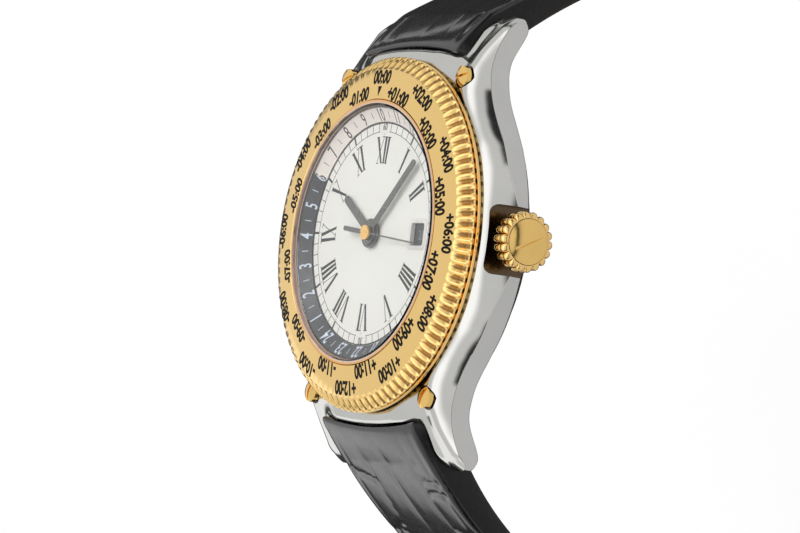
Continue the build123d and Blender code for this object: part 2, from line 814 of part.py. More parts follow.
# Day and night ring: a cone outside the dial, with a skirt and inner teeth below it
ring_pitch = day_ring_module * day_ring_teeth / 2
hour_phase = mating_phase(0, minute_pinion_teeth, minute_wheel_angle + 180, hour_teeth)
ring_drive_phase = mating_phase(hour_phase, hour_teeth, ring_drive_angle, ring_drive_teeth)
ring_turn = (ring_drive_angle - ring_drive_phase) / 360 * ring_drive_teeth
ring_space = ring_drive_angle - 360 * ring_turn / day_ring_teeth
with BuildPart() as day_night_ring:
    turned([
        (day_ring_skirt_inner, day_ring_bottom), (day_ring_outer, day_ring_bottom),
        (day_ring_outer, day_ring_top), (day_ring_inner, day_ring_low),
        (day_ring_skirt_inner, day_ring_low - day_ring_skirt_step),
    ])
    corners = []
    for tooth in range(day_ring_teeth):
        space = ring_space + 360 * tooth / day_ring_teeth
        corners.append(polar(ring_pitch + tooth_root_share * day_ring_module, space))
        corners.append(polar(ring_pitch - tooth_top_share * day_ring_module, space + 180 / day_ring_teeth))
    with BuildSketch(Plane.XY.offset(day_ring_bottom)) as teeth:
        Circle(day_ring_outer)
        with BuildLine():
            Polyline(*corners, close=True)
        make_face(mode=Mode.SUBTRACT)
    extrude(teeth.sketch, amount=day_ring_tooth_height)
save(day_night_ring, "day_night_ring")


def hand_outline(length, width, tail=0.0):
    """A straight hand with rounded ends, pointing along +Y."""
    with Locations((0, (length - tail) / 2)):
        SlotOverall(length + tail, width, rotation=90)


# Hour, minute and seconds hands
hour_hand_bottom = dial_top + hour_hand_rise
minute_hand_bottom = dial_top + minute_hand_rise
second_hand_bottom = dial_top + second_hand_rise
with BuildPart() as hour_hand:
    with BuildSketch(Plane.XY.offset(hour_hand_bottom).rotated((0, 0, -hour_angle))):
        hand_outline(hour_hand_length, hour_hand_width)
        Circle(hour_hub_radius)
        Circle(hour_pipe_radius, mode=Mode.SUBTRACT)
    extrude(amount=hand_thickness)
save(hour_hand, "hour_hand")

with BuildPart() as minute_hand:
    with BuildSketch(Plane.XY.offset(minute_hand_bottom).rotated((0, 0, -minute_angle))):
        hand_outline(minute_hand_length, minute_hand_width)
        Circle(minute_hub_radius)
        Circle(cannon_radius, mode=Mode.SUBTRACT)
    extrude(amount=hand_thickness)
save(minute_hand, "minute_hand")

with BuildPart() as seconds_hand:
    with BuildSketch(Plane.XY.offset(second_hand_bottom).rotated((0, 0, -second_angle))):
        hand_outline(second_hand_length, second_hand_width)
        with Locations((0, -second_tail_length / 2)):
            SlotOverall(second_tail_length, second_tail_width, rotation=90)
        Circle(second_cap_radius)
    extrude(amount=hand_thickness)
    cap_top = second_hand_bottom + hand_thickness + second_cap_height
    disc(second_cap_radius, second_hand_bottom + hand_thickness, cap_top)
    with BuildSketch(Plane.XY.offset(cap_top)) as slot:
        Rectangle(second_cap_radius * 2 + overrun, second_cap_slot)
    extrude(slot.sketch, amount=-second_cap_height / 2, mode=Mode.SUBTRACT)
save(seconds_hand, "seconds_hand")

# Places of the train's axes
third_module = centre_module * (centre_teeth + third_pinion_teeth) / (third_teeth + fourth_pinion_teeth)
third_distance = centre_module * (centre_teeth + third_pinion_teeth) / 2
escape_distance = fourth_module * (fourth_teeth + escape_pinion_teeth) / 2
barrel_distance = barrel_module * (barrel_teeth + centre_pinion_teeth) / 2
motion_distance = motion_module * (minute_pinion_teeth + hour_teeth) / 2
cannon_module = 2 * motion_distance / (cannon_teeth + minute_wheel_teeth)
ring_drive_distance = motion_module * (hour_teeth + ring_drive_teeth) / 2
third_place = polar(third_distance, third_angle)
escape_place = polar(escape_distance, escape_angle)
barrel_place = polar(barrel_distance, barrel_angle)
minute_wheel_place = polar(motion_distance, minute_wheel_angle)
ring_drive_place = polar(ring_drive_distance, ring_drive_angle)
balance_place = (balance_x, balance_y)
crown_wheel_place = (crown_wheel_x, 0)
winding_distance = math.dist(crown_wheel_place, barrel_place)
winding_module = 2 * winding_distance / (crown_wheel_teeth + ratchet_teeth)
pallet_aim = math.atan2(balance_y - escape_place[1], balance_x - escape_place[0])
pallet_aim_degrees = math.degrees(pallet_aim)
pallet_place = (escape_place[0] + pallet_reach * math.cos(pallet_aim),
                escape_place[1] + pallet_reach * math.sin(pallet_aim))
pivot_hole = pivot_radius + running_gap
arbor_foot = bridge_top + running_gap
arbor_top = plate_bottom - running_gap


def arbor(place, radius=arbor_radius):
    """A wheel's shaft between the train bridge and the main plate, with a pivot at each end."""
    disc(pivot_radius, bridge_bottom, plate_top - plate_hole_radius, centre=place)
    disc(radius, arbor_foot, arbor_top, centre=place)


# Centre wheel, third wheel, fourth wheel and escape wheel
with BuildPart() as centre_wheel:
    pipe_top = minute_hand_bottom
    gear(centre_teeth, centre_module, centre_level, centre_level + wheel_thickness)
    gear(centre_pinion_teeth, barrel_module, centre_pinion_bottom, centre_pinion_top,
         phase=mating_phase(0, barrel_teeth, barrel_angle + 180, centre_pinion_teeth))
    disc(centre_arbor_radius, centre_level, pipe_top)
    disc(centre_bore, centre_level, pipe_top, mode=Mode.SUBTRACT)
save(centre_wheel, "centre_wheel")

with BuildPart() as third_wheel:
    arbor(third_place)
    pinion_foot = centre_level - running_gap
    gear(third_pinion_teeth, centre_module, pinion_foot, pinion_foot + pinion_height,
         centre=third_place, phase=mating_phase(0, centre_teeth, third_angle, third_pinion_teeth))
    gear(third_teeth, third_module, third_level, third_level + wheel_thickness, centre=third_place)
save(third_wheel, "third_wheel")

with BuildPart() as fourth_wheel:
    disc(pivot_radius, bridge_bottom, arbor_foot)
    disc(fourth_arbor_radius, arbor_foot, second_hand_bottom)
    pinion_foot = third_level - running_gap
    gear(fourth_pinion_teeth, third_module, pinion_foot, pinion_foot + pinion_height,
         phase=mating_phase(0, third_teeth, third_angle + 180, fourth_pinion_teeth))
    gear(fourth_teeth, fourth_module, fourth_level, fourth_level + wheel_thickness)
save(fourth_wheel, "fourth_wheel")

with BuildPart() as escape_wheel:
    arbor(escape_place)
    pinion_foot = fourth_level - running_gap
    gear(escape_pinion_teeth, fourth_module, pinion_foot, pinion_foot + pinion_height,
         centre=escape_place, phase=mating_phase(0, fourth_teeth, escape_angle, escape_pinion_teeth))
    corners = []
    for tooth in range(escape_teeth):
        lean = 360 / escape_teeth * escape_lean_share
        corners.append(polar(escape_radius, 360 * tooth / escape_teeth))
        corners.append(polar(escape_root_radius, 360 * tooth / escape_teeth + lean))
    with BuildSketch(Plane.XY.offset(escape_level)) as outline:
        with BuildLine():
            Polyline(*[(x + escape_place[0], y + escape_place[1]) for x, y in corners], close=True)
        make_face()
    extrude(outline.sketch, amount=wheel_thickness)
save(escape_wheel, "escape_wheel")

# Pallet fork: two arms beside the escape wheel and a forked tail towards the balance
with BuildPart() as pallet_fork:
    with BuildSketch(Plane((pallet_place[0], pallet_place[1], escape_level),
                           x_dir=(math.cos(pallet_aim), math.sin(pallet_aim), 0), z_dir=(0, 0, 1))):
        Rectangle(pallet_arm_width, pallet_arm * 2)
        with Locations((-pallet_arm_width, pallet_arm), (-pallet_arm_width, -pallet_arm)):
            Rectangle(pallet_arm_width, pallet_arm_width)
        with Locations((fork_length / 2, 0)):
            Rectangle(fork_length, pallet_arm_width)
        with Locations((fork_length, pallet_arm_width / 2), (fork_length, -pallet_arm_width / 2)):
            Rectangle(pallet_arm_width, pallet_arm_width / 2)
    extrude(amount=wheel_thickness)
    disc(arbor_radius, escape_level - pinion_height, escape_level + wheel_thickness + pinion_height,
         centre=pallet_place)
save(pallet_fork, "pallet_fork")

# Balance wheel with its roller, and the hairspring under it
with BuildPart() as balance_wheel:
    rim_top = balance_level + balance_rim_height
    disc(balance_radius, balance_level, rim_top, inner=balance_radius - balance_rim_width,
         centre=balance_place)
    with BuildSketch(Plane.XY.offset(balance_level)) as arms:
        with Locations(Location((balance_x, balance_y), pallet_aim_degrees)):
            Rectangle((balance_radius - balance_rim_width) * 2 + balance_rim_width, balance_arm_width)
            Rectangle(balance_arm_width, (balance_radius - balance_rim_width) * 2 + balance_rim_width)
    extrude(arms.sketch, amount=wheel_thickness)
    disc(arbor_radius, hairspring_level, escape_level, centre=balance_place)
    disc(pivot_radius, bridge_bottom, hairspring_level, centre=balance_place)
    disc(roller_radius, escape_level - wheel_thickness * 2, escape_level - running_gap, centre=balance_place)
    disc(pivot_radius, escape_level - running_gap, plate_bottom + plate_hole_radius, centre=balance_place)
save(balance_wheel, "balance_wheel")

with BuildPart() as hairspring:
    spiral(hairspring_inner, hairspring_outer, hairspring_turns, hairspring_thickness,
           hairspring_level, hairspring_level + hairspring_height, centre=balance_place)
    stud = (balance_x + hairspring_outer, balance_y)
    with BuildSketch(Plane.XY.offset(bridge_top)) as post:
        with Locations(stud):
            Rectangle(hairspring_thickness * 4, hairspring_thickness * 4)
    extrude(post.sketch, amount=hairspring_level + hairspring_height - bridge_top)
save(hairspring, "hairspring")

# Barrel with its cover, mainspring and arbor
barrel_pitch = barrel_module * barrel_teeth / 2
with BuildPart() as barrel:
    gear(barrel_teeth, barrel_module, barrel_bottom, barrel_bottom + barrel_rim_height, centre=barrel_place)
    disc(barrel_drum_radius, barrel_bottom, barrel_top, centre=barrel_place)
    disc(barrel_drum_radius - barrel_wall, barrel_bottom + barrel_wall, barrel_top, centre=barrel_place,
         mode=Mode.SUBTRACT)
    disc(barrel_bore_radius, barrel_bottom, barrel_top, centre=barrel_place, mode=Mode.SUBTRACT)
save(barrel, "barrel")

with BuildPart() as barrel_cover:
    disc(barrel_drum_radius - barrel_wall, barrel_top - barrel_wall, barrel_top, inner=barrel_bore_radius,
         centre=barrel_place)
save(barrel_cover, "barrel_cover")

with BuildPart() as mainspring:
    mainspring_outer = barrel_drum_radius - barrel_wall - mainspring_gap - mainspring_thickness
    spiral(barrel_bore_radius + mainspring_gap, mainspring_outer, mainspring_turns,
           mainspring_thickness, barrel_bottom + barrel_wall + running_gap,
           barrel_top - barrel_wall - running_gap, centre=barrel_place)
save(mainspring, "mainspring")

with BuildPart() as barrel_arbor:
    disc(barrel_arbor_radius, ratchet_level, plate_top - plate_hole_radius / 2, centre=barrel_place)
save(barrel_arbor, "barrel_arbor")

# Winding works: ratchet wheel, crown wheel, winding and sliding pinions, and the setting lever
ratchet_top = ratchet_level + winding_wheel_thickness
with BuildPart() as ratchet_wheel:
    gear(ratchet_teeth, winding_module, ratchet_level, ratchet_top, centre=barrel_place)
    disc(barrel_arbor_radius, ratchet_level, ratchet_top, centre=barrel_place, mode=Mode.SUBTRACT)
save(ratchet_wheel, "ratchet_wheel")

with BuildPart() as crown_wheel:
    towards_crown_wheel = math.degrees(math.atan2(-barrel_place[1], crown_wheel_x - barrel_place[0]))
    gear(crown_wheel_teeth, winding_module, ratchet_level, ratchet_top, centre=crown_wheel_place,
         phase=mating_phase(0, ratchet_teeth, towards_crown_wheel, crown_wheel_teeth))
    disc(crown_wheel_boss + running_gap, ratchet_level, ratchet_top, centre=crown_wheel_place,
         mode=Mode.SUBTRACT)
save(crown_wheel, "crown_wheel")


def cross_gear(teeth, radius, root, start, length):
    """A pinion on the stem's axis."""
    corners = []
    for tooth in range(teeth):
        corners.append(polar(radius, 360 * tooth / teeth))
        corners.append(polar(root, 360 * tooth / teeth + 180 / teeth))
    with BuildSketch(Plane.YZ.offset(start)) as outline:
        with BuildLine():
            Polyline(*[(y, z + crown_height) for y, z in corners], close=True)
        make_face()
    extrude(outline.sketch, amount=length)
    rod(stem_radius + square_clearance, start, start + length, mode=Mode.SUBTRACT)


with BuildPart() as winding_pinion:
    cross_gear(winding_pinion_teeth, winding_pinion_radius, winding_pinion_root, winding_pinion_x,
               winding_pinion_length)
save(winding_pinion, "winding_pinion")

with BuildPart() as sliding_pinion:
    rod(sliding_pinion_radius, sliding_pinion_x, sliding_pinion_x + sliding_pinion_length,
        inner=stem_radius + square_clearance)
save(sliding_pinion, "sliding_pinion")

with BuildPart() as setting_lever:
    lever_x = stem_neck_x + stem_neck_length / 2
    with BuildSketch(Plane.XY.offset(setting_lever_bottom)):
        with Locations((lever_x, (setting_lever_y + setting_pin_y) / 2)):
            SlotCenterToCenter(setting_lever_y - setting_pin_y, setting_lever_width, rotation=90)
        with Locations((lever_x, setting_lever_y)):
            Circle(pivot_hole, mode=Mode.SUBTRACT)
    extrude(amount=setting_lever_thickness)
    disc(setting_pin_radius, crown_height, setting_lever_bottom, centre=(lever_x, setting_pin_y))
save(setting_lever, "setting_lever")

# Motion works: cannon pinion, minute wheel, hour wheel and the day ring's driving wheel
minute_wheel_top = minute_wheel_level + motion_wheel_thickness * 2
hour_wheel_top = hour_wheel_level + motion_wheel_thickness
with BuildPart() as cannon_pinion:
    gear(cannon_teeth, cannon_module, minute_wheel_level, minute_wheel_top)
    disc(cannon_radius, minute_wheel_level, minute_hand_bottom + hand_thickness)
    disc(centre_arbor_radius, minute_wheel_level, minute_hand_bottom, mode=Mode.SUBTRACT)
    disc(centre_bore, minute_hand_bottom, minute_hand_bottom + hand_thickness, mode=Mode.SUBTRACT)
save(cannon_pinion, "cannon_pinion")

with BuildPart() as minute_wheel:
    gear(minute_wheel_teeth, cannon_module, minute_wheel_level, minute_wheel_level + motion_wheel_thickness,
         centre=minute_wheel_place,
         phase=mating_phase(0, cannon_teeth, minute_wheel_angle, minute_wheel_teeth))
    gear(minute_pinion_teeth, motion_module, minute_wheel_level + motion_wheel_thickness, hour_wheel_top,
         centre=minute_wheel_place)
    disc(arbor_radius + running_gap, minute_wheel_level, hour_wheel_top, centre=minute_wheel_place,
         mode=Mode.SUBTRACT)
save(minute_wheel, "minute_wheel")

with BuildPart() as hour_wheel:
    gear(hour_teeth, motion_module, hour_wheel_level, hour_wheel_top, phase=hour_phase)
    disc(hour_pipe_radius, hour_wheel_level, hour_hand_bottom + hand_thickness)
    disc(hour_pipe_bore, hour_wheel_level, hour_hand_bottom + hand_thickness, mode=Mode.SUBTRACT)
save(hour_wheel, "hour_wheel")

with BuildPart() as ring_drive_wheel:
    gear(ring_drive_teeth, motion_module, hour_wheel_level, hour_wheel_top, centre=ring_drive_place,
         phase=ring_drive_phase)
    disc(arbor_radius + running_gap, hour_wheel_level, hour_wheel_top, centre=ring_drive_place,
         mode=Mode.SUBTRACT)
save(ring_drive_wheel, "ring_drive_wheel")

# Date disc: a flat ring with inner teeth
with BuildPart() as date_disc:
    corners = []
    for tooth in range(date_teeth):
        corners.append(polar(date_disc_inner, 360 * tooth / date_teeth))
        corners.append(polar(date_disc_inner + date_tooth_depth, 360 * (tooth + 1 / 2) / date_teeth))
    with BuildSketch(Plane.XY.offset(date_disc_top - date_disc_thickness)):
        Circle(date_disc_outer)
        with BuildLine():
            Polyline(*corners, close=True)
        make_face(mode=Mode.SUBTRACT)
    extrude(amount=date_disc_thickness)
save(date_disc, "date_disc")

# Main plate: a disc with a raised rim, pockets for the barrel and the winding works, and its studs
pillar_places = [polar(barrel_pillar_reach, angle) for angle in barrel_pillar_angles]
bridge_places = [polar(bridge_pillar_reach, angle) for angle in bridge_pillar_angles]
cock_place = polar(cock_foot_reach, cock_foot_angle)
clamp_places = [polar(plate_radius - clamp_length / 2, angle) for angle in clamp_angles]
with BuildPart() as main_plate:
    disc(plate_radius, plate_bottom, plate_top)
    disc(plate_radius, plate_top, plate_rim_top, inner=plate_radius - plate_rim_width)
    disc(barrel_pitch + barrel_pocket_gap, plate_bottom, barrel_pocket_top, centre=barrel_place,
         mode=Mode.SUBTRACT)
    disc(barrel_bore_radius, plate_bottom, plate_top, centre=barrel_place, mode=Mode.SUBTRACT)
    disc(centre_arbor_radius + running_gap, plate_bottom, plate_top, mode=Mode.SUBTRACT)
    for place in (third_place, escape_place, balance_place):
        disc(pivot_hole, plate_bottom, plate_top - plate_hole_radius + running_gap, centre=place,
             mode=Mode.SUBTRACT)
    with BuildSketch(Plane.XY.offset(plate_bottom)) as pocket:
        with Locations((winding_pinion_x + winding_pinion_length / 2, 0)):
            Rectangle(winding_pinion_length + running_gap * 4, winding_pinion_radius * 2 + running_gap * 4)
    extrude(pocket.sketch, amount=winding_pinion_radius + crown_height - plate_bottom + running_gap * 2,
            mode=Mode.SUBTRACT)
    for place in dial_foot_places:
        disc(dial_foot_radius + running_gap, plate_top - dial_foot_sink - running_gap, plate_top,
             centre=place, mode=Mode.SUBTRACT)
    for place in (minute_wheel_place, ring_drive_place):
        disc(arbor_radius, plate_top, hour_wheel_top, centre=place)
    disc(arbor_radius * 2, plate_top, hour_wheel_level - running_gap, centre=ring_drive_place)
    disc(pivot_radius, setting_lever_bottom, plate_bottom, centre=(lever_x, setting_lever_y))
    disc(arbor_radius * 2, escape_level + wheel_thickness + pinion_height + running_gap, plate_bottom,
         centre=pallet_place)
save(main_plate, "main_plate")

# Bridges and cock on their pillars
with BuildPart() as barrel_bridge:
    with BuildSketch(Plane.XY.offset(barrel_bridge_bottom)) as outline:
        with Locations(*pillar_places):
            Circle(pillar_radius)
        with Locations(barrel_place):
            Circle(barrel_bridge_radius)
        with Locations(crown_wheel_place):
            Circle(crown_wheel_boss)
        make_hull()
        with Locations((winding_pinion_x + winding_pinion_length / 2, 0)):
            Rectangle(winding_pinion_length + running_gap * 4, winding_pinion_radius * 2 + running_gap * 4,
                      mode=Mode.SUBTRACT)
        Circle(train_bridge_radius, mode=Mode.SUBTRACT)
    extrude(outline.sketch, amount=barrel_bridge_top - barrel_bridge_bottom)
    for place in pillar_places:
        disc(pillar_radius, barrel_bridge_top, plate_bottom, centre=place)
    disc(crown_wheel_boss, ratchet_level, barrel_bridge_bottom, centre=crown_wheel_place)
    disc(barrel_bore_radius, barrel_bridge_bottom, barrel_bridge_top, centre=barrel_place, mode=Mode.SUBTRACT)
save(barrel_bridge, "barrel_bridge")

jewel_places = (third_place, escape_place)
with BuildPart() as train_bridge:
    for place in bridge_places:
        with BuildSketch(Plane.XY.offset(bridge_bottom)) as outline:
            Circle(train_bridge_radius)
            with Locations(place):
                Circle(bridge_pad_radius)
            make_hull()
        extrude(outline.sketch, amount=bridge_thickness)
        disc(pillar_radius, bridge_top, plate_bottom, centre=place)
    for place in jewel_places:
        disc(jewel_radius, bridge_bottom, bridge_top, centre=place, mode=Mode.SUBTRACT)
    disc(pivot_hole, bridge_bottom, bridge_top, mode=Mode.SUBTRACT)
save(train_bridge, "train_bridge")

with BuildPart() as balance_cock:
    with BuildSketch(Plane.XY.offset(bridge_bottom)) as outline:
        with Locations(balance_place):
            Circle(cock_pad_radius)
        with Locations(cock_place):
            Circle(bridge_pad_radius)
        make_hull()
    extrude(outline.sketch, amount=bridge_thickness)
    disc(pillar_radius, bridge_top, plate_bottom, centre=cock_place)
    disc(jewel_radius, bridge_bottom, bridge_top, centre=balance_place, mode=Mode.SUBTRACT)
save(balance_cock, "balance_cock")

with BuildPart() as jewels:
    for place in (*jewel_places, balance_place):
        disc(jewel_radius, bridge_bottom, bridge_top, inner=pivot_hole, centre=place)
save(jewels, "jewels")

with BuildPart() as movement_screws:
    for place in (*bridge_places, cock_place):
        disc(plate_screw_head_radius, bridge_bottom - plate_screw_head_height, bridge_bottom, centre=place)
    for place in pillar_places:
        disc(plate_screw_head_radius, barrel_bridge_bottom - plate_screw_head_height, barrel_bridge_bottom,
             centre=place)
    for place in clamp_places:
        disc(plate_screw_head_radius, plate_bottom - clamp_thickness - plate_screw_head_height,
             plate_bottom - clamp_thickness, centre=place)
save(movement_screws, "movement_screws")

# Movement ring and the clamps that hold the plate to it
with BuildPart() as movement_ring:
    turned([
        (movement_ring_inner, movement_ring_top), (movement_ring_radius, movement_ring_top),
        (movement_ring_radius, movement_ring_bottom), (movement_ring_shelf_radius, movement_ring_bottom),
        (movement_ring_shelf_radius, plate_bottom), (movement_ring_inner, plate_bottom),
    ])
    rod(stem_radius + running_gap * 4, plate_radius, movement_ring_radius + overrun, mode=Mode.SUBTRACT)
save(movement_ring, "movement_ring")

with BuildPart() as casing_clamps:
    for angle in clamp_angles:
        with BuildSketch(Plane.XY.offset(plate_bottom - clamp_thickness)) as clamp:
            with Locations(Location(polar(plate_radius - clamp_length / 2 + clamp_overhang, angle), angle)):
                Rectangle(clamp_length, clamp_width)
        extrude(clamp.sketch, amount=clamp_thickness)
save(casing_clamps, "casing_clamps")

# Winding rotor: a half disc with a heavy rim on a flanged bearing
with BuildPart() as rotor:
    with BuildSketch(Plane.XY.offset(rotor_bottom)) as web:
        Circle(rotor_radius)
        with Locations((0, rotor_radius)):
            Rectangle(rotor_radius * 2, rotor_radius * 2, mode=Mode.SUBTRACT)
        Circle(rotor_hub_radius)
    extrude(web.sketch, amount=rotor_thickness)
    with BuildSketch(Plane.XY.offset(rotor_bottom)) as rim:
        Circle(rotor_radius)
        Circle(rotor_rim_inner, mode=Mode.SUBTRACT)
        with Locations((0, rotor_radius)):
            Rectangle(rotor_radius * 2, rotor_radius * 2, mode=Mode.SUBTRACT)
    extrude(rim.sketch, amount=rotor_rim_height)
    disc(rotor_hub_radius, rotor_bottom, rotor_bottom + rotor_rim_height)
    disc(bearing_hole_radius, rotor_bottom, rotor_bottom + rotor_rim_height, mode=Mode.SUBTRACT)
save(rotor, "rotor")

with BuildPart() as rotor_bearing:
    flange_bottom = back_thickness + running_gap
    disc(bearing_flange_radius, flange_bottom, rotor_bottom - running_gap)
    disc(bearing_radius, flange_bottom, bridge_bottom)
    disc(pivot_hole, bridge_bottom - pinion_height, bridge_bottom, mode=Mode.SUBTRACT)
save(rotor_bearing, "rotor_bearing")


def ahead(point, heading, distance):
    """The point a distance away along a heading in degrees."""
    step = polar(distance, heading)
    return (point[0] + step[0], point[1] + step[1])


class Route:
    """The middle line of a strap seen from the side, with its thickness, as runs and bends."""

    def __init__(self, point, heading, thickness):
        self.stations = [(point, heading, thickness)]
        self.bends = []

    def bend(self, radius, turn, thickness):
        point, heading, before = self.stations[-1]
        centre = ahead(point, heading - 90, radius)
        end = ahead(centre, heading - turn + 90, radius)
        middle = ahead(centre, heading - turn / 2 + 90, radius)
        self.bends.append((middle, heading - turn / 2, (before + thickness) / 2))
        self.stations.append((end, heading - turn, thickness))

    def run(self, length, thickness):
        point, heading, before = self.stations[-1]
        self.bends.append(None)
        self.stations.append((ahead(point, heading, length), heading, thickness))

    def side(self, station, share):
        point, heading, thickness = station
        return ahead(point, heading + 90, thickness * share)

    def draw(self):
        """Draw the closed outline: the outer side out, the end, and the inner side back."""
        for share in (outer_share, -outer_share):
            for index, middle in enumerate(self.bends):
                start = self.side(self.stations[index], share)
                end = self.side(self.stations[index + 1], share)
                if middle:
                    ThreePointArc(start, self.side(middle, share), end)
                else:
                    Line(start, end)
        for index in (0, -1):
            Line(self.side(self.stations[index], outer_share), self.side(self.stations[index], -outer_share))


def strap_plane(station):
    """A plane across the strap at a station, with Y along the strap and Z away from the wrist."""
    (y, z), heading, thickness = station
    away = polar(1, heading + 90)
    return Plane(origin=(0, y, z), x_dir=(1, 0, 0), z_dir=(0, away[0], away[1]))


outer_share = 1 / 2
strap_12_route = Route((spring_bar_y, spring_bar_height), -strap_12_lean, strap_thickness)
strap_12_route.bend(strap_12_radius, 90 - strap_12_lean, strap_tail_thickness)
strap_12_route.bend(strap_12_bend, strap_12_bend_angle, strap_tail_thickness)
strap_12_route.run(strap_12_end, strap_tail_thickness)
strap_6_route = Route((spring_bar_y, spring_bar_height), -strap_6_lean, strap_thickness)
strap_6_route.bend(strap_6_radius, 90 - strap_6_lean, strap_tail_thickness)
strap_6_route.run(strap_6_straight, strap_tail_thickness)
strap_6_route.bend(strap_6_bend, 90, strap_tail_thickness)
strap_6_route.run(strap_6_flat, strap_tail_thickness)
for name, route in (("strap 12", strap_12_route), ("strap 6", strap_6_route)):
    print(name, "ends at", [round(value, 2) for value in route.stations[-1][0]])


def strap_taper(foot):
    """A flat shape that narrows the strap from the lugs down to its bend."""
    with BuildSketch(Plane.XZ) as shape:
        with BuildLine():
            top = spring_bar_height + strap_thickness
            half_top = strap_width / 2
            half_low = strap_buckle_width / 2
            Polyline((half_top, top), (half_low, foot), (half_low, foot * 3), (-half_low, foot * 3),
                     (-half_low, foot), (-half_top, top), close=True)
        make_face()
    return shape.sketch


def strap_band(route, bar_bore):
    """The leather between its spring bar and its far end, with the loop around the bar."""
    with BuildSketch(Plane.YZ) as side_view:
        with BuildLine():
            route.draw()
        make_face()
        with Locations(route.stations[0][0]):
            Circle(strap_thickness / 2)
            Circle(bar_bore, mode=Mode.SUBTRACT)
    extrude(side_view.sketch, amount=strap_width / 2, both=True)
    bend_foot = route.stations[1][0][1]
    extrude(strap_taper(bend_foot), amount=strap_width * 4, both=True, mode=Mode.INTERSECT)


# Strap half at twelve o'clock, with the loop that holds the buckle
bar_bore = spring_bar_radius + strap_bore_gap
buckle_station = strap_12_route.stations[-1]
buckle_point = buckle_station[0]
with BuildPart() as strap_12:
    strap_band(strap_12_route, bar_bore)
    with BuildSketch(Plane.YZ) as loop:
        with Locations(buckle_point):
            Circle(buckle_loop_radius)
    extrude(loop.sketch, amount=strap_buckle_width / 2, both=True)
    with BuildSketch(Plane.YZ) as loop_bore:
        with Locations(buckle_point):
            Circle(buckle_bar_radius + strap_bore_gap)
    extrude(loop_bore.sketch, amount=strap_buckle_width, both=True, mode=Mode.SUBTRACT)
    with BuildSketch(strap_plane(buckle_station)) as tongue_slot:
        Rectangle(tongue_width + strap_bore_gap * 8, tongue_slot_length * 2)
    extrude(tongue_slot.sketch, amount=strap_thickness, both=True, mode=Mode.SUBTRACT)
save(strap_12, "strap_12")

# Strap half at six o'clock, with its row of holes and its rounded tip
with BuildPart() as strap_6:
    strap_band(strap_6_route, bar_bore)
    tip_point = strap_6_route.stations[-1][0]
    tip_heading = strap_6_route.stations[-1][1]
    tip_y = tip_point[0]
    with BuildSketch(Plane.XY.offset(tip_point[1])) as tip:
        Rectangle(strap_width * 2, abs(tip_y) * 2 + strap_width * 6)
        with Locations((0, tip_y + strap_tip_radius)):
            Circle(strap_tip_radius, mode=Mode.SUBTRACT)
        with Locations((0, tip_y + strap_tip_radius + strap_width * 4)):
            Rectangle(strap_width * 2, strap_width * 8, mode=Mode.SUBTRACT)
    extrude(tip.sketch, amount=strap_tail_thickness, both=True, mode=Mode.SUBTRACT)
    for hole in range(strap_hole_count):
        hole_reach = strap_first_hole + strap_hole_pitch * hole
        if hole_reach < strap_6_flat:
            station = (ahead(tip_point, 180 + tip_heading, hole_reach), tip_heading, strap_tail_thickness)
        else:
            back = math.degrees((hole_reach - strap_6_flat) / strap_6_bend)
            bend_start, bend_heading, thickness = strap_6_route.stations[2]
            hole_route = Route(bend_start, bend_heading, thickness)
            hole_route.bend(strap_6_bend, 90 - back, strap_tail_thickness)
            station = hole_route.stations[-1]
        with BuildSketch(strap_plane(station)) as hole_face:
            Circle(strap_hole_radius)
        extrude(hole_face.sketch, amount=strap_tail_thickness, both=True, mode=Mode.SUBTRACT)
    mirror(about=Plane.XZ, mode=Mode.REPLACE)
save(strap_6, "strap_6")

# Spring bars through the lugs, and the bar of the buckle
for label, bar_side in (("spring_bar_12", 1), ("spring_bar_6", -1)):
    with BuildPart() as spring_bar:
        with BuildSketch(Plane.YZ) as body:
            with Locations((spring_bar_y * bar_side, spring_bar_height)):
                Circle(spring_bar_radius)
        extrude(body.sketch, amount=flank_inner - spring_bar_end_gap, both=True)
        with BuildSketch(Plane.YZ) as tip:
            with Locations((spring_bar_y * bar_side, spring_bar_height)):
                Circle(spring_bar_tip_radius)
        extrude(tip.sketch, amount=flank_inner + spring_bar_tip_length, both=True)
    save(spring_bar, label)

with BuildPart() as buckle_bar:
    with BuildSketch(Plane.YZ) as body:
        with Locations(buckle_point):
            Circle(buckle_bar_radius)
    extrude(body.sketch, amount=buckle_outer_width / 2 - buckle_wire * 2 - running_gap, both=True)
    with BuildSketch(Plane.YZ) as tip:
        with Locations(buckle_point):
            Circle(buckle_tip_radius)
    extrude(tip.sketch, amount=buckle_outer_width / 2 - buckle_bar_gap, both=True)
save(buckle_bar, "buckle_bar")

# Pin buckle: a rounded frame and a tongue, both turning on the bar
buckle_plane = strap_plane(buckle_station)
with BuildPart() as buckle_frame:
    window_width = buckle_outer_width - buckle_wire * 4
    with BuildSketch(buckle_plane.offset(-buckle_wire)):
        with Locations((0, (buckle_length - buckle_back) / 2)):
            RectangleRounded(buckle_outer_width, buckle_length + buckle_back, buckle_corner)
            RectangleRounded(window_width, buckle_length + buckle_back - buckle_wire * 4, buckle_inner_corner,
                             mode=Mode.SUBTRACT)
    extrude(amount=buckle_wire * 2)
    fillet(buckle_frame.edges(), buckle_wire * buckle_round_share)
    with BuildSketch(buckle_plane.offset(-buckle_wire)) as back:
        with Locations((0, -buckle_back)):
            Rectangle(window_width, buckle_wire * 6)
    extrude(back.sketch, amount=buckle_wire * 2, mode=Mode.SUBTRACT)
    with BuildSketch(Plane.YZ) as bar_bore_sketch:
        with Locations(buckle_point):
            Circle(buckle_tip_radius + strap_bore_gap)
    bore_half = buckle_outer_width / 2 - buckle_bar_gap + strap_bore_gap
    extrude(bar_bore_sketch.sketch, amount=bore_half, both=True, mode=Mode.SUBTRACT)
save(buckle_frame, "buckle_frame")

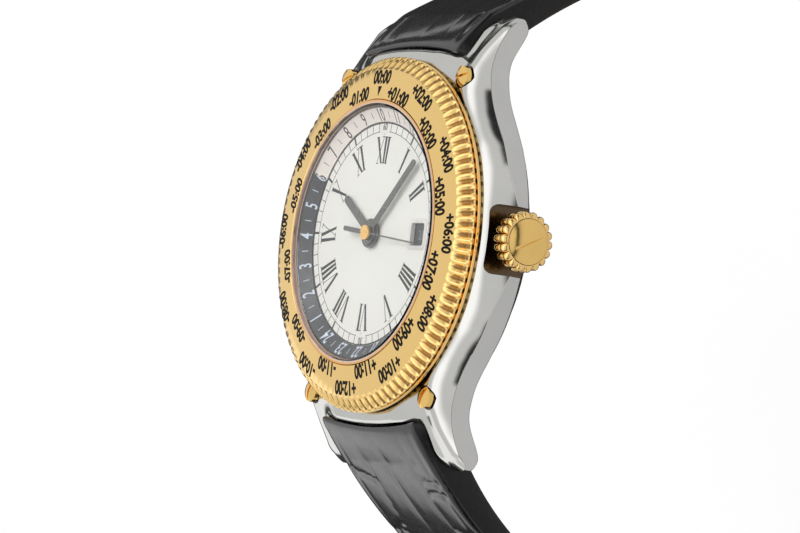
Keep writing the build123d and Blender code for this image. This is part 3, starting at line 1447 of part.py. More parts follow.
with BuildPart() as buckle_tongue:
    with BuildSketch(Plane.YZ) as eye:
        with Locations(buckle_point):
            Circle(buckle_bar_radius + tongue_thickness)
    extrude(eye.sketch, amount=tongue_width / 2, both=True)
    with BuildSketch(buckle_plane.offset(buckle_wire + running_gap)) as blade:
        with Locations((0, tongue_reach / 2)):
            Rectangle(tongue_width, tongue_reach)
    extrude(blade.sketch, amount=tongue_thickness)
    with BuildSketch(Plane.YZ) as eye_bore:
        with Locations(buckle_point):
            Circle(buckle_bar_radius + strap_bore_gap)
    extrude(eye_bore.sketch, amount=tongue_width, both=True, mode=Mode.SUBTRACT)
save(buckle_tongue, "buckle_tongue")


def keeper(station, gap):
    """A leather loop around the strap at a station, open above it for the other half's tail."""
    inner_half = strap_buckle_width / 2 + gap
    low = strap_tail_thickness / 2 + gap
    with BuildSketch(strap_plane(station)) as band:
        Rectangle((inner_half + keeper_thickness) * 2, keeper_width)
    extrude(band.sketch, amount=low + keeper_room + keeper_thickness)
    extrude(band.sketch, amount=-(low + keeper_thickness))
    with BuildSketch(strap_plane(station)) as room:
        Rectangle(inner_half * 2, keeper_width * 3)
    extrude(room.sketch, amount=low + keeper_room, mode=Mode.SUBTRACT)
    extrude(room.sketch, amount=-low, mode=Mode.SUBTRACT)


keeper_route = Route((spring_bar_y, spring_bar_height), -strap_12_lean, strap_thickness)
keeper_route.bend(strap_12_radius, loose_keeper_angle, strap_tail_thickness)
with BuildPart() as loose_keeper:
    keeper(keeper_route.stations[-1], loose_keeper_gap)
save(loose_keeper, "loose_keeper")

keeper_route = Route(strap_12_route.stations[1][0], strap_12_route.stations[1][1], strap_tail_thickness)
keeper_route.bend(strap_12_bend, fixed_keeper_angle, strap_tail_thickness)
with BuildPart() as fixed_keeper:
    keeper(keeper_route.stations[-1], fixed_keeper_gap)
save(fixed_keeper, "fixed_keeper")
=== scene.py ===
import json
import math
import random

import bmesh
import bpy
import numpy as np
from mathutils import Matrix, Quaternion, Vector


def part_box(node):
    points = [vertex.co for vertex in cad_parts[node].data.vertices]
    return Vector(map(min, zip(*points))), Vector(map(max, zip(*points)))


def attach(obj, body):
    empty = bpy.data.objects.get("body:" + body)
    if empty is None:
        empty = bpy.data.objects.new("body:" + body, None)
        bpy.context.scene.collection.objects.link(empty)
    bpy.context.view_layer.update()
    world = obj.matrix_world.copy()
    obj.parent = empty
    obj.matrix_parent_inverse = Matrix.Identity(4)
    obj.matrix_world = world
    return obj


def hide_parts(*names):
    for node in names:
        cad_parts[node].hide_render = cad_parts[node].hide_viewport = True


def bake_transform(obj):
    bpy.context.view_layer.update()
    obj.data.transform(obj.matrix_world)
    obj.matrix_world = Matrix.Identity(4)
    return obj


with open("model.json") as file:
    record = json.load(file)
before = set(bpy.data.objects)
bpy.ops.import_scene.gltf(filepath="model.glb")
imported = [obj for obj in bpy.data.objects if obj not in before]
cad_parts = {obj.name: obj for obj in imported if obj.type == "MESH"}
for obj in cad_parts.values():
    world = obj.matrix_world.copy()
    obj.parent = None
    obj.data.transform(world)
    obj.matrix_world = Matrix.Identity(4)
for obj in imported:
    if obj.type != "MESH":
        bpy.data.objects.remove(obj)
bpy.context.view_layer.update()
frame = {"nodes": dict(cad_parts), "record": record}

# Metres. The origin is at the case back, with +Z out of the dial, +X to the crown and +Y to twelve o'clock.
MM = 0.001
scene = bpy.context.scene
scene.view_settings.view_transform = "Standard"

# Sizes taken from the frame
dial_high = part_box("dial")[1]
dial_top = dial_high.z
dial_radius = dial_high.x
ring_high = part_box("day_night_ring")[1]
ring_outer = ring_high.x
ring_top = ring_high.z
ring_inner = dial_radius + 0.05 * MM
ring_foot = dial_top + 0.07 * MM
bezel_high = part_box("bezel")[1]
bezel_top = bezel_high.z
bezel_inner = 13.6 * MM
bezel_edge_radius = bezel_high.x - 1.4 * MM
bezel_edge_top = bezel_top - 0.45 * MM
date_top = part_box("date_disc")[1].z
floor_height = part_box("strap_6")[0].z


# Camera: at the photograph's viewing angle, with a long lens
def make_camera():
    place = Vector((0.5174726, -0.0395335, 0.3272307))
    target = Vector((0.0014838, -0.0029713, 0.0068422))
    roll = math.radians(-6.7844)
    forward = (target - place).normalized()
    level = (Vector((0, 1, 0)) - forward * forward.y).normalized()
    up = Quaternion(forward, roll) @ level
    right = forward.cross(up)
    data = bpy.data.cameras.new("camera")
    data.lens = 270
    data.sensor_width = 36
    data.clip_start = 0.01
    camera = bpy.data.objects.new("camera", data)
    camera.matrix_world = Matrix.Translation(place) @ Matrix((right, up, -forward)).transposed().to_4x4()
    scene.collection.objects.link(camera)
    scene.camera = camera


# Materials
def set_inputs(node, **values):
    """Set a node's inputs by name, with an underscore for each space."""
    for name, value in values.items():
        node.inputs[name.replace("_", " ")].default_value = value


class Nodes:
    """A material's node tree, with short ways to add and join nodes."""

    def __init__(self, tree):
        self.tree = tree

    def add(self, kind, **settings):
        node = self.tree.nodes.new(kind)
        for key, value in settings.items():
            setattr(node, key, value)
        return node

    def link(self, source, target):
        self.tree.links.new(source, target)

    def math(self, operation, first, second=None):
        node = self.add("ShaderNodeMath", operation=operation)
        for socket, value in zip(node.inputs, (first, second)):
            if isinstance(value, (int, float)):
                socket.default_value = value
            elif value is not None:
                self.link(value, socket)
        return node.outputs[0]

    def times(self, first, second):
        return self.math("MULTIPLY", first, second)

    def band(self, value, rise, full, fall, end):
        """1 between full and fall, fading to 0 at rise and at end."""
        return self.times(self.ramp(value, rise, full), self.ramp(value, fall, end, 1.0, 0.0))

    def reach(self, first, second):
        """The distance from an axis, from two places across it."""
        return self.math("SQRT", self.math("ADD", self.times(first, first), self.times(second, second)))

    def ramp(self, value, low, high, start=0.0, end=1.0, smooth=True):
        node = self.add("ShaderNodeMapRange", interpolation_type="SMOOTHSTEP" if smooth else "LINEAR")
        self.link(value, node.inputs["Value"])
        set_inputs(node, From_Min=low, From_Max=high, To_Min=start, To_Max=end)
        return node.outputs[0]

    def mix(self, factor, first, second):
        node = self.add("ShaderNodeMix", data_type="RGBA")
        self.link(factor, node.inputs["Factor"])
        for socket, value in ((node.inputs[6], first), (node.inputs[7], second)):
            if isinstance(value, tuple):
                socket.default_value = (*value, 1)
            else:
                self.link(value, socket)
        return node.outputs[2]

    def noise(self, scale, detail=2.0, stretch=(1, 1, 1)):
        place = self.add("ShaderNodeTexCoord").outputs["Object"]
        mapping = self.add("ShaderNodeMapping")
        set_inputs(mapping, Scale=stretch)
        self.link(place, mapping.inputs["Vector"])
        texture = self.add("ShaderNodeTexNoise")
        set_inputs(texture, Scale=scale, Detail=detail)
        self.link(mapping.outputs["Vector"], texture.inputs["Vector"])
        return texture.outputs["Fac"]

    def rays(self):
        """1 for what the camera sees, straight or through glass, and 1 for what reflections see."""
        kinds = self.add("ShaderNodeLightPath").outputs
        seen = self.math("MAXIMUM", kinds["Is Camera Ray"], kinds["Is Transmission Ray"])
        return seen, kinds["Is Glossy Ray"]

    def bump(self, height, depth, shader):
        relief = self.add("ShaderNodeBump")
        set_inputs(relief, Distance=depth)
        self.link(height, relief.inputs["Height"])
        self.link(relief.outputs["Normal"], shader.inputs["Normal"])

    def place(self):
        node = self.add("ShaderNodeSeparateXYZ")
        self.link(self.add("ShaderNodeTexCoord").outputs["Object"], node.inputs[0])
        return node.outputs


def new_material(name):
    """A material, its nodes and its shader."""
    material = bpy.data.materials.new(name)
    material.use_nodes = True
    return material, Nodes(material.node_tree), material.node_tree.nodes["Principled BSDF"]


def surface(name, colour, roughness, metallic=0.0, spread=0.03, scale=900.0, stretch=(1, 1, 1), bump=0.0,
            shade=0.93, **sockets):
    """A material whose colour and roughness vary a little over the surface, with an optional fine relief."""
    material, nodes, shader = new_material(name)
    grain = nodes.noise(scale, stretch=stretch)
    dark = tuple(channel * shade for channel in colour)
    rough = nodes.ramp(grain, 0.3, 0.7, roughness - spread, roughness + spread)
    nodes.link(nodes.mix(nodes.ramp(grain, 0.35, 0.65), colour, dark), shader.inputs["Base Color"])
    nodes.link(rough, shader.inputs["Roughness"])
    set_inputs(shader, Metallic=metallic, **sockets)
    if bump:
        nodes.bump(grain, bump, shader)
    return material, nodes, shader


RIDGES = 100
LOBES = 18
CROWN_HEIGHT = 4.6
BEZEL_GOLD = (0.93, 0.64, 0.25)
# Dark brown painted into the valleys of the bezel's and crown's ridges: painted shade and painted reflection
# of the ridges' walls
PAINTED_VALLEY_SHADE = (0.26, 0.14, 0.045)
STEEL = (0.60, 0.595, 0.58)
GOLD = (0.90, 0.60, 0.20)
INK = (0.010, 0.009, 0.008)
HAND_METAL = (0.13, 0.13, 0.115)


def plain_materials():
    """One material for each of the record's slots that needs nothing special."""
    steel = surface("polished_steel", STEEL, 0.09, 1.0, spread=0.02, scale=260, shade=0.97)[0]
    gold = surface("polished_gold", GOLD, 0.14, 1.0, spread=0.02, scale=420, shade=0.95)[0]
    return {
        "case_steel": steel,
        "gold": gold,
        "white_gasket": surface("gasket_pale", (0.90, 0.66, 0.52), 0.35, spread=0.06, scale=1400)[0],
        "black_gasket": surface("gasket_black", (0.02, 0.02, 0.02), 0.6, scale=1600, bump=6e-6)[0],
        "spring_steel": surface("spring_steel", (0.55, 0.56, 0.58), 0.22, 1.0, scale=900,
                                stretch=(1, 12, 1), bump=1e-6)[0],
        "movement_brass": surface("gilt_brass", (0.80, 0.62, 0.30), 0.28, 1.0, scale=1500, bump=2e-6)[0],
        "plated_brass": striped_plate(),
        "jewel": surface("ruby", (0.55, 0.02, 0.08), 0.08, scale=1200, Transmission_Weight=0.4)[0],
        "dial_paint": surface("dial_white", (0.76, 0.76, 0.715), 0.42, spread=0.04, scale=160,
                              shade=0.985)[0],
        "date_paint": surface("date_dark", (0.045, 0.05, 0.05), 0.5, scale=700)[0],
        "strap_leather": surface("plain_leather", (0.012, 0.012, 0.014), 0.35, scale=2600, bump=14e-6)[0],
    }


def striped_plate():
    """Rhodium plate with broad soft stripes across it."""
    material, nodes, shader = surface("striped_plate", (0.66, 0.66, 0.65), 0.26, 1.0, scale=700)
    stripe_width = 1.6 * MM
    x, y, z = nodes.place()
    across = nodes.math("ADD", nodes.times(x, 0.8), nodes.times(y, 0.6))
    wave = nodes.math("FRACT", nodes.times(across, 1 / stripe_width))
    nodes.bump(nodes.times(wave, wave), 12e-6, shader)
    return material


def ridged_gold(name, roughness, shade_mask):
    """Gold with painted shade: a dark brown base colour in the valleys between ridges, standing in for their
    shade and for the dark reflections of the ridges' walls.
    """
    material, nodes, shader = surface(name, GOLD, roughness, 1.0, spread=0.02, scale=300)
    nodes.link(nodes.mix(shade_mask(nodes), BEZEL_GOLD, PAINTED_VALLEY_SHADE), shader.inputs["Base Color"])
    return material


def valley_share(nodes, across, up, count, width):
    """The mask of the painted valley shade: 1 in the middle of each valley between ridges around an axis, and
    0 on the ridges.
    """
    turn = nodes.math("DIVIDE", nodes.math("ARCTAN2", up, across), math.tau / count)
    from_crest = nodes.math("ABSOLUTE", nodes.math("SUBTRACT", nodes.math("FRACT", turn), 0.5))
    return nodes.ramp(nodes.math("ADD", from_crest, width), 0.42, 0.60)


def bezel_valleys(nodes):
    """Where painted shade darkens the valleys along the bezel's slope, from its flat top out to its rim."""
    x, y = nodes.place()[:2]
    reach = nodes.reach(x, y)
    along = nodes.band(reach, 16.7 * MM, 17.25 * MM, 17.95 * MM, 18.15 * MM)
    return nodes.times(along, valley_share(nodes, x, y, RIDGES, nodes.times(along, 0.22)))


def crown_valleys(nodes):
    """Where painted shade darkens the valleys between the crown's lobes, outside its cap."""
    x, y, z = nodes.place()
    up = nodes.math("SUBTRACT", z, CROWN_HEIGHT * MM)
    valley = valley_share(nodes, y, up, LOBES, 0.04)
    return nodes.times(valley, nodes.ramp(nodes.reach(y, up), 2.35 * MM, 2.55 * MM))


def crystal_glass():
    """Sapphire with a thin coating that dims its reflection."""
    return surface("sapphire", (1.0, 1.0, 1.0), 0.012, spread=0.008, shade=0.995, scale=300,
                   Transmission_Weight=1.0, IOR=1.77, Specular_Tint=(0.12, 0.14, 0.17, 1))[0]


# The hour of the ring that stands at twelve o'clock, and the direction of its day half
HOUR_AT_TOP = 10.12
DAY_DIRECTION = math.radians((12 - HOUR_AT_TOP) * 15)


def day_share(nodes):
    """1 on the ring's day half and 0 on its night half."""
    x, y, z = nodes.place()
    along = nodes.math("ADD", nodes.times(x, math.sin(DAY_DIRECTION)),
                       nodes.times(y, math.cos(DAY_DIRECTION)))
    return nodes.ramp(along, -0.02 * MM, 0.02 * MM, smooth=False)


def ring_paint(name, night, day, roughness, scale):
    """Paint of one colour on the ring's night half and another on its day half."""
    material, nodes, shader = surface(name, day, roughness, scale=scale)
    nodes.link(nodes.mix(day_share(nodes), night, day), shader.inputs["Base Color"])
    return material


def hand_finish(name):
    """Dark satin steel."""
    return surface(name, HAND_METAL, 0.30, 0.85, scale=800, bump=1e-6)


def seconds_finish():
    """Dark satin steel with a polished gold cap."""
    material, nodes, shader = hand_finish("seconds_finish")
    cap_foot = dial_top + 0.87 * MM
    cap_radius = 0.77 * MM
    x, y, z = nodes.place()
    inside = nodes.times(nodes.math("LESS_THAN", nodes.reach(x, y), cap_radius),
                         nodes.math("GREATER_THAN", z, cap_foot))
    nodes.link(nodes.mix(inside, HAND_METAL, (0.95, 0.58, 0.16)), shader.inputs["Base Color"])
    return material


def dress_frame():
    """Give every node of the frame its finish, by the record's slots."""
    finishes = plain_materials()
    finishes["crystal"] = crystal_glass()
    finishes["ring_paint"] = ring_paint("ring_day_and_night", (0.012, 0.013, 0.015), (0.86, 0.80, 0.74), 0.38,
                                        240)
    finishes["hand_metal"] = hand_finish("hand_finish")[0]
    for part in frame["record"]["subparts"]:
        node = frame["nodes"][part["node"]]
        node.data.materials.clear()
        node.data.materials.append(finishes[part["material_slot"]])
    own = {"seconds_hand": seconds_finish(),
           "crystal_ring": surface("red_gold", (0.95, 0.55, 0.24), 0.20, 1.0, spread=0.03, scale=600)[0]}
    for name, material in own.items():
        frame["nodes"][name].material_slots[0].material = material
    frame["nodes"]["crystal"].visible_shadow = False
    return finishes


def bow(values, low, high):
    """0 below low, 1 above high and a smooth step between."""
    share = np.clip((values - low) / (high - low), 0, 1)
    return share * share * (3 - 2 * share)


def curve_through(points, spacing):
    """Points at even distances along a smooth curve through the given ones."""
    points = np.array(points, float)
    padded = np.vstack([2 * points[0] - points[1], points, 2 * points[-1] - points[-2]])
    dense = []
    for index in range(1, len(padded) - 2):
        before, start, end, after = padded[index - 1:index + 3]
        for share in np.linspace(0, 1, 24, endpoint=False):
            dense.append(0.5 * (2 * start + (end - before) * share
                                + (2 * before - 5 * start + 4 * end - after) * share ** 2
                                + (3 * start - before - 3 * end + after) * share ** 3))
    dense.append(padded[-2])
    dense = np.array(dense)
    reach = np.concatenate([[0], np.cumsum(np.hypot(*np.diff(dense, axis=0).T))])
    places = np.linspace(0, reach[-1], int(reach[-1] / spacing) + 1)
    return np.stack([np.interp(places, reach, dense[:, 0]), np.interp(places, reach, dense[:, 1])], axis=1)


def nearest(points, line):
    """The distance of each point to a line, and the line's y at the nearest place."""
    start, along = line[:-1], np.diff(line, axis=0)
    offset = points[:, None, :] - start[None]
    share = np.clip((offset * along).sum(2) / (along * along).sum(1), 0, 1)
    away = offset - share[..., None] * along
    distance = np.sqrt((away * away).sum(2))
    best = distance.argmin(1)
    rows = np.arange(len(points))
    return distance[rows, best], start[best, 1] + share[rows, best] * along[best, 1]


# Case middle, in millimetres: its outline in one quarter, seen from above, from the crown round to twelve
RIDGE_RADIUS = 19.3
OUTER_LINE = [(RIDGE_RADIUS * math.cos(math.radians(angle)), RIDGE_RADIUS * math.sin(math.radians(angle)))
              for angle in range(0, 33, 4)] + [
    (15.05, 12.0), (14.0, 13.55), (13.25, 15.1), (12.85, 16.7), (12.55, 18.3), (12.4, 19.6), (12.38, 20.8),
    (12.42, 21.7), (12.3, 22.4)]
TIP_LINE = [(12.3, 22.4), (11.7, 22.95), (10.7, 23.05), (9.7, 22.9), (9.15, 22.3), (9.05, 21.5),
            (9.05, 20.2), (9.03, 19.35), (8.75, 18.8), (8.1, 18.6), (7.0, 18.71), (5.0, 18.95), (2.5, 19.14),
            (0.0, 19.2)]
SPACING = 0.15
# Heights of the deck, of the seat under the bezel and of the underside
DECK = 8.25
SEAT = 8.4
UNDERSIDE = 2.0
CONE_RISE = 1.1
LUG_ROOT_FOOT = 3.5
# Along the lugs: the deck's height, the underside's height, the crease's height and the rolled edge's width
LUG_TOP = ((0, 14.4, 15.4, 16.2, 17.0, 18.0, 19.3, 20.5, 21.95, 23.1),
           (8.25, 8.2, 8.08, 7.9, 7.6, 7.0, 6.25, 5.35, 4.25, 3.3))
LUG_FOOT = ((0, 12.0, 14.7, 17.0, 18.3, 19.4, 20.5, 21.5, 22.3, 23.1),
            (3.1, 3.15, 3.45, 3.5, 3.2, 2.6, 1.95, 1.5, 1.55, 2.1))
CREASE = ((0, 3.0, 4.9, 7.5, 10, 17.0, 18.3, 19.5, 20.5, 21.5, 22.5),
          (4.6, 4.7, 5.3, 5.95, 6.02, 5.95, 5.6, 5.2, 4.7, 4.2, 3.7))
ROLL = ((0, 10, 14, 17, 19.5, 22), (2.1, 2.1, 1.95, 1.6, 1.2, 0.8))
# Radius and height of the turned steps inside the case, above and below
UPPER_STEPS = ((13.05, 7.5), (13.05, SEAT), (15.2, SEAT), (15.2, 7.8), (16.4, 7.8), (16.4, SEAT))
LOWER_STEPS = ((15.55, UNDERSIDE), (15.55, 3.2), (14.4, 3.2), (14.4, 7.5))
DECK_START = 16.6
FOOT_END = 17.0
FOOT_ROLL = 0.3
# Where one form goes over into the next, from and to
SEAT_EDGE = (16.7, 17.4)
LUG_SIDE = (5.2, 10.4)
LUG_ROOT = (14, 16)
LUG_INNER = (7.4, 9.4)
UNDER_EDGE = (17.6, 18.9)
LUG_TIP = (21.2, 22.6)
FLANK_END = (10, 16)
DECK_ROWS = 36
FLANK_ROWS = 8
ROLL_ROWS = 5
FOOT_ROWS = 14


def smooth_table(values, table):
    """A table read with its corners rounded off."""
    grid = np.linspace(-4, 28, 641)
    level = np.interp(np.abs(grid), *table)
    for width in (25, 17):
        padded = np.pad(level, width // 2, mode="edge")
        level = np.convolve(padded, np.ones(width) / width, mode="valid")
    return np.interp(values, grid, level)


def deck_height(x, y):
    """The case's top: flat around the bezel, then falling along the lugs."""
    deck = SEAT + (DECK - SEAT) * bow(np.hypot(x, y), *SEAT_EDGE)
    return deck - (DECK - smooth_table(y, LUG_TOP)) * bow(x, *LUG_SIDE)


def foot_height(x, y):
    """The case's underside: a cone from the back outwards, and the feet of the lugs."""
    radius = np.hypot(x, y)
    cone = UNDERSIDE + CONE_RISE * np.clip((radius - FOOT_END) / 1.8, 0, 1)
    lug = smooth_table(y, LUG_FOOT)
    lug = lug + (LUG_ROOT_FOOT - lug) * bow(y, *LUG_ROOT) * (1 - bow(x, *LUG_INNER))
    return cone + (lug - cone) * bow(radius, *UNDER_EDGE)


def rolled(distance, width):
    """1 at an edge, falling to 0 over a width in a round curve."""
    share = np.clip(distance / width, 0, 1)
    return 1 - 1.9 * share + 0.9 * share * share


def edge_angles(count, outer_count):
    """The direction on the round inner edges that each outline point of a quarter fans in to."""
    keys = [0, int(10.0 / SPACING), outer_count - 1, outer_count + int(2.6 / SPACING),
            outer_count + int(7.2 / SPACING), count - 1]
    return np.radians(np.interp(np.arange(count), keys, (0, 31.0, 50.0, 53.0, 57.0, 90.0)))


def case_skin():
    """Rows of points round the case: over the deck, down the flank, under the foot and up the bore."""
    outer = curve_through(OUTER_LINE, SPACING)
    tip = curve_through(TIP_LINE, SPACING)
    quarter = np.vstack([outer, tip[1:]])
    angles = edge_angles(len(quarter), len(outer))
    upper = np.vstack([quarter, quarter[::-1][1:] * (-1, 1)])
    loop = np.vstack([upper, upper[::-1][1:-1] * (1, -1)])
    upper_angles = np.concatenate([angles, math.pi - angles[::-1][1:]])
    loop_angles = np.concatenate([upper_angles, -upper_angles[::-1][1:-1]])
    tangent = np.roll(loop, -1, axis=0) - np.roll(loop, 1, axis=0)
    tangent /= np.hypot(*tangent.T)[:, None]
    outward = np.stack([tangent[:, 1], -tangent[:, 0]], axis=1)

    def top(points):
        spot = np.abs(points)
        deck = deck_height(spot[:, 0], spot[:, 1])
        outer_distance, outer_y = nearest(spot, outer)
        inner_distance, inner_y = nearest(spot, tip)
        drop = np.clip(deck - smooth_table(outer_y, CREASE), 0, None)
        height = deck - drop * rolled(outer_distance, smooth_table(outer_y, ROLL))
        at_tip = bow(inner_y, *LUG_TIP)
        return height - (0.35 + 0.3 * at_tip) * rolled(inner_distance, 0.5 + 0.5 * at_tip)

    def ring(radius, height):
        return np.stack([radius * np.cos(loop_angles), radius * np.sin(loop_angles),
                         np.full(len(loop), height)], axis=1)

    def wall(away, height):
        return np.column_stack([loop - outward * away[:, None], height])

    rows = [ring(radius, height) for radius, height in UPPER_STEPS]
    start = ring(DECK_START, 0)[:, :2]
    for step in range(DECK_ROWS + 1):
        points = start + (loop - start) * (1 - (1 - step / DECK_ROWS) ** 1.7)
        rows.append(np.column_stack([points, top(points)]))
    edge = rows[-1][:, 2]
    absolute = np.abs(loop)
    outer_side = 1 - bow(nearest(absolute, outer)[0], 0.02, 0.4)
    inset = 0.16 * outer_side + 0.34 * outer_side * (1 - bow(absolute[:, 1], *FLANK_END))
    foot_z = foot_height(*np.abs(loop - outward * inset[:, None]).T)
    shoulder = 0.02 * outer_side
    shoulder_z = edge - 0.12
    rows.append(wall(0.05 * outer_side, edge - 0.05))
    rows.append(wall(shoulder, shoulder_z))
    for step in range(1, FLANK_ROWS + 1):
        share = step / FLANK_ROWS
        rows.append(wall(shoulder + (inset - shoulder) * share,
                         shoulder_z + (foot_z + FOOT_ROLL - shoulder_z) * share))
    for step in range(1, ROLL_ROWS + 1):
        angle = math.radians(90 * step / ROLL_ROWS)
        rows.append(wall(inset + FOOT_ROLL * (1 - math.cos(angle)),
                         foot_z + FOOT_ROLL * (1 - math.sin(angle))))
    start = loop - outward * (inset + FOOT_ROLL)[:, None]
    end = ring(FOOT_END, 0)[:, :2]
    for step in range(1, FOOT_ROWS + 1):
        points = start + (end - start) * (step / FOOT_ROWS)
        rows.append(np.column_stack([points, foot_height(*np.abs(points).T)]))
    return rows + [ring(radius, height) for radius, height in LOWER_STEPS]


def skin_faces(rows, around):
    """Quads of a closed skin whose rows and columns both come round to their start."""
    faces = []
    for row in range(rows):
        here, after = row * around, (row + 1) % rows * around
        for column in range(around):
            other = (column + 1) % around
            faces.append([here + column, here + other, after + other, after + column])
    return faces


def prism_faces(count, start=0):
    """The two ends and the sides of a prism whose ends follow each other in the points."""
    first = [start + index for index in range(count)]
    second = [index + count for index in first]
    sides = [[first[index - 1], first[index], second[index], second[index - 1]] for index in range(count)]
    return [first[::-1], second] + sides


def new_piece(name, points, faces, materials=()):
    mesh = bpy.data.meshes.new(name)
    mesh.from_pydata(points, [], faces)
    for material in materials:
        mesh.materials.append(material)
    piece = bpy.data.objects.new(name, mesh)
    scene.collection.objects.link(piece)
    return piece


def block(outline, low, high, axis, materials):
    """A prism along X or Z, in metres from millimetres, for cutting with the second material."""
    points = []
    for level in (low, high):
        for first, second in outline:
            place = (level, first, second) if axis == "X" else (first, second, level)
            points.append(Vector(place) * MM)
    cutter = closed_piece("cutter", points, prism_faces(len(outline)), materials)
    for polygon in cutter.data.polygons:
        polygon.material_index = 1
    return cutter


def closed_piece(name, points, faces, materials=()):
    """A closed mesh with its faces turned outwards."""
    piece = new_piece(name, points, faces, materials)
    work = bmesh.new()
    work.from_mesh(piece.data)
    bmesh.ops.recalc_face_normals(work, faces=work.faces)
    work.to_mesh(piece.data)
    work.free()
    return piece


def skin_piece(name, rows, *materials):
    """A closed piece from rows of points in millimetres that come round to their start."""
    points = np.vstack(rows) * MM
    return closed_piece(name, [Vector(point) for point in points], skin_faces(len(rows), len(rows[0])),
                        materials)


def circle(radius, x=0.0, y=0.0, steps=48):
    angles = [math.tau * step / steps for step in range(steps)]
    return [(x + radius * math.cos(angle), y + radius * math.sin(angle)) for angle in angles]


def shade_by_angle(piece, angle):
    for polygon in piece.data.polygons:
        polygon.use_smooth = True
    piece.data.set_sharp_from_angle(angle=math.radians(angle))


def make_case(steel):
    """The skin, with the crown's recess and hole and the seats of the four screws cut out, their cut faces
    dark with painted shade.
    """
    # The second material is painted shade: dark brown steel on the faces cut for the crown's recess, the
    # tube's hole and the screws' seats, standing in for the shade in these hollows and the crown's dark gold
    # reflection
    materials = (steel, surface("recess_painted_shade", (0.12, 0.085, 0.055), 0.22, 1.0, scale=500)[0])
    recess_height, recess_floor, recess_end = 4.4, 17.6, 21.0
    tube_radius, tube_start, tube_end = 1.3, 13.0, 19.0
    screw_x, screw_y, screw_radius, screw_foot, screw_end = 10.9, 16.2, 1.2, 7.35, 9.0
    piece = skin_piece("case_middle_skin", case_skin(), *materials)
    recess = [(x, y + recess_height) for x, y in rounded_frame(7.0, 6.1, 0.9)]
    cutters = [block(recess, recess_floor, recess_end, "X", materials),
               block(circle(tube_radius, 0, CROWN_HEIGHT), tube_start, tube_end, "X", materials)]
    for x in (-screw_x, screw_x):
        for y in (-screw_y, screw_y):
            cutters.append(block(circle(screw_radius, x, y), screw_foot, screw_end, "Z", materials))
    cut(piece, cutters)
    shade_by_angle(piece, 33)
    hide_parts("case_middle")
    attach(piece, "case")


# The crown's outline: place along X, radius between the lobes and the lobes' height
CROWN_PROFILE = ((20.5, 1.6, 0), (19.2, 1.6, 0), (19.2, 2.3, 0), (19.24, 2.42, 0.18), (19.38, 2.5, 0.40),
                 (19.6, 2.52, 0.50), (19.9, 2.53, 0.52), (20.3, 2.53, 0.52), (20.5, 2.53, 0.49),
                 (20.6, 2.53, 0.45), (20.7, 2.53, 0.5), (20.85, 2.51, 0.54), (21.0, 2.47, 0.53),
                 (21.12, 2.42, 0.45), (21.21, 2.38, 0.32), (21.26, 2.35, 0.18), (21.27, 2.33, 0.04),
                 (21.2, 2.31, 0), (20.97, 2.3, 0), (20.95, 1.7, 0), (20.6, 1.62, 0))


def make_crown(gold):
    """A lobed knob whose lobes end in round beads around the cap."""
    per_lobe = 14
    phase = np.arange(LOBES * per_lobe) / per_lobe
    across = 2 * (phase % 1) - 1
    lobe = np.sqrt(np.clip(1 - across * across * 0.985, 0, 1))
    turn = math.tau * phase / LOBES
    rows = []
    for x, core, height in CROWN_PROFILE:
        radius = core + height * lobe
        rows.append(np.stack([np.full(len(turn), x), radius * np.cos(turn),
                              CROWN_HEIGHT + radius * np.sin(turn)], axis=1))
    piece = skin_piece("crown_knob", rows, gold)
    shade_by_angle(piece, 50)
    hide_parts("crown")
    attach(piece, "crown")


# The way that the bezel's slope faces
SLOPE_OUT = 0.67
SLOPE_UP = 0.74


def bezel_profile():
    """Radius, height and depth of the valleys: the flat top, the ridged slope and the rim with its groove."""
    profile = [(13.6, 8.45, 0), (13.6, 10.93, 0)]
    top_start, top_end = (13.66, 10.99), (16.72, 10.56)
    for share in (0.0, 0.33, 0.66, 1.0):
        profile.append((top_start[0] + (top_end[0] - top_start[0]) * share,
                        top_start[1] + (top_end[1] - top_start[1]) * share, 0))
    slope, swell, depth, slope_rows = (1.43, -1.28), 0.16, 0.30, 10
    for step in range(1, slope_rows + 1):
        share = step / slope_rows
        lift = swell * math.sin(math.pi * share)
        fade = min(1.0, (step - 0.4) / 3.0) * min(1.0, (slope_rows + 0.5 - step) / 2.0)
        profile.append((top_end[0] + slope[0] * share + lift * SLOPE_OUT,
                        top_end[1] + slope[1] * share + lift * SLOPE_UP, depth * fade))
    return profile + [(18.17, 9.2, 0), (18.15, 9.13, 0), (17.8, 9.08, 0), (17.78, 8.86, 0), (18.12, 8.83, 0),
                      (18.17, 8.79, 0), (18.17, 8.58, 0), (18.1, 8.5, 0), (17.7, 8.46, 0), (17.5, 8.45, 0)]


def make_bezel(gold):
    """A turned ring with a rope of round ridges along its slope."""
    per_ridge = 12
    phase = np.arange(RIDGES * per_ridge) / per_ridge
    across = np.abs(2 * (phase % 1) - 1)
    valley = np.clip((across - 0.12) / 0.5, 0, 1) * (1 - 0.35 * np.clip((across - 0.62) / 0.38, 0, 1))
    turn = math.tau * phase / RIDGES
    rows = []
    for radius, height, depth in bezel_profile():
        reach = radius - depth * valley * SLOPE_OUT
        rows.append(np.stack([reach * np.cos(turn), reach * np.sin(turn),
                              height - depth * valley * SLOPE_UP], axis=1))
    piece = skin_piece("bezel_ring", rows, gold)
    shade_by_angle(piece, 38)
    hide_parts("bezel")
    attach(piece, "bezel")


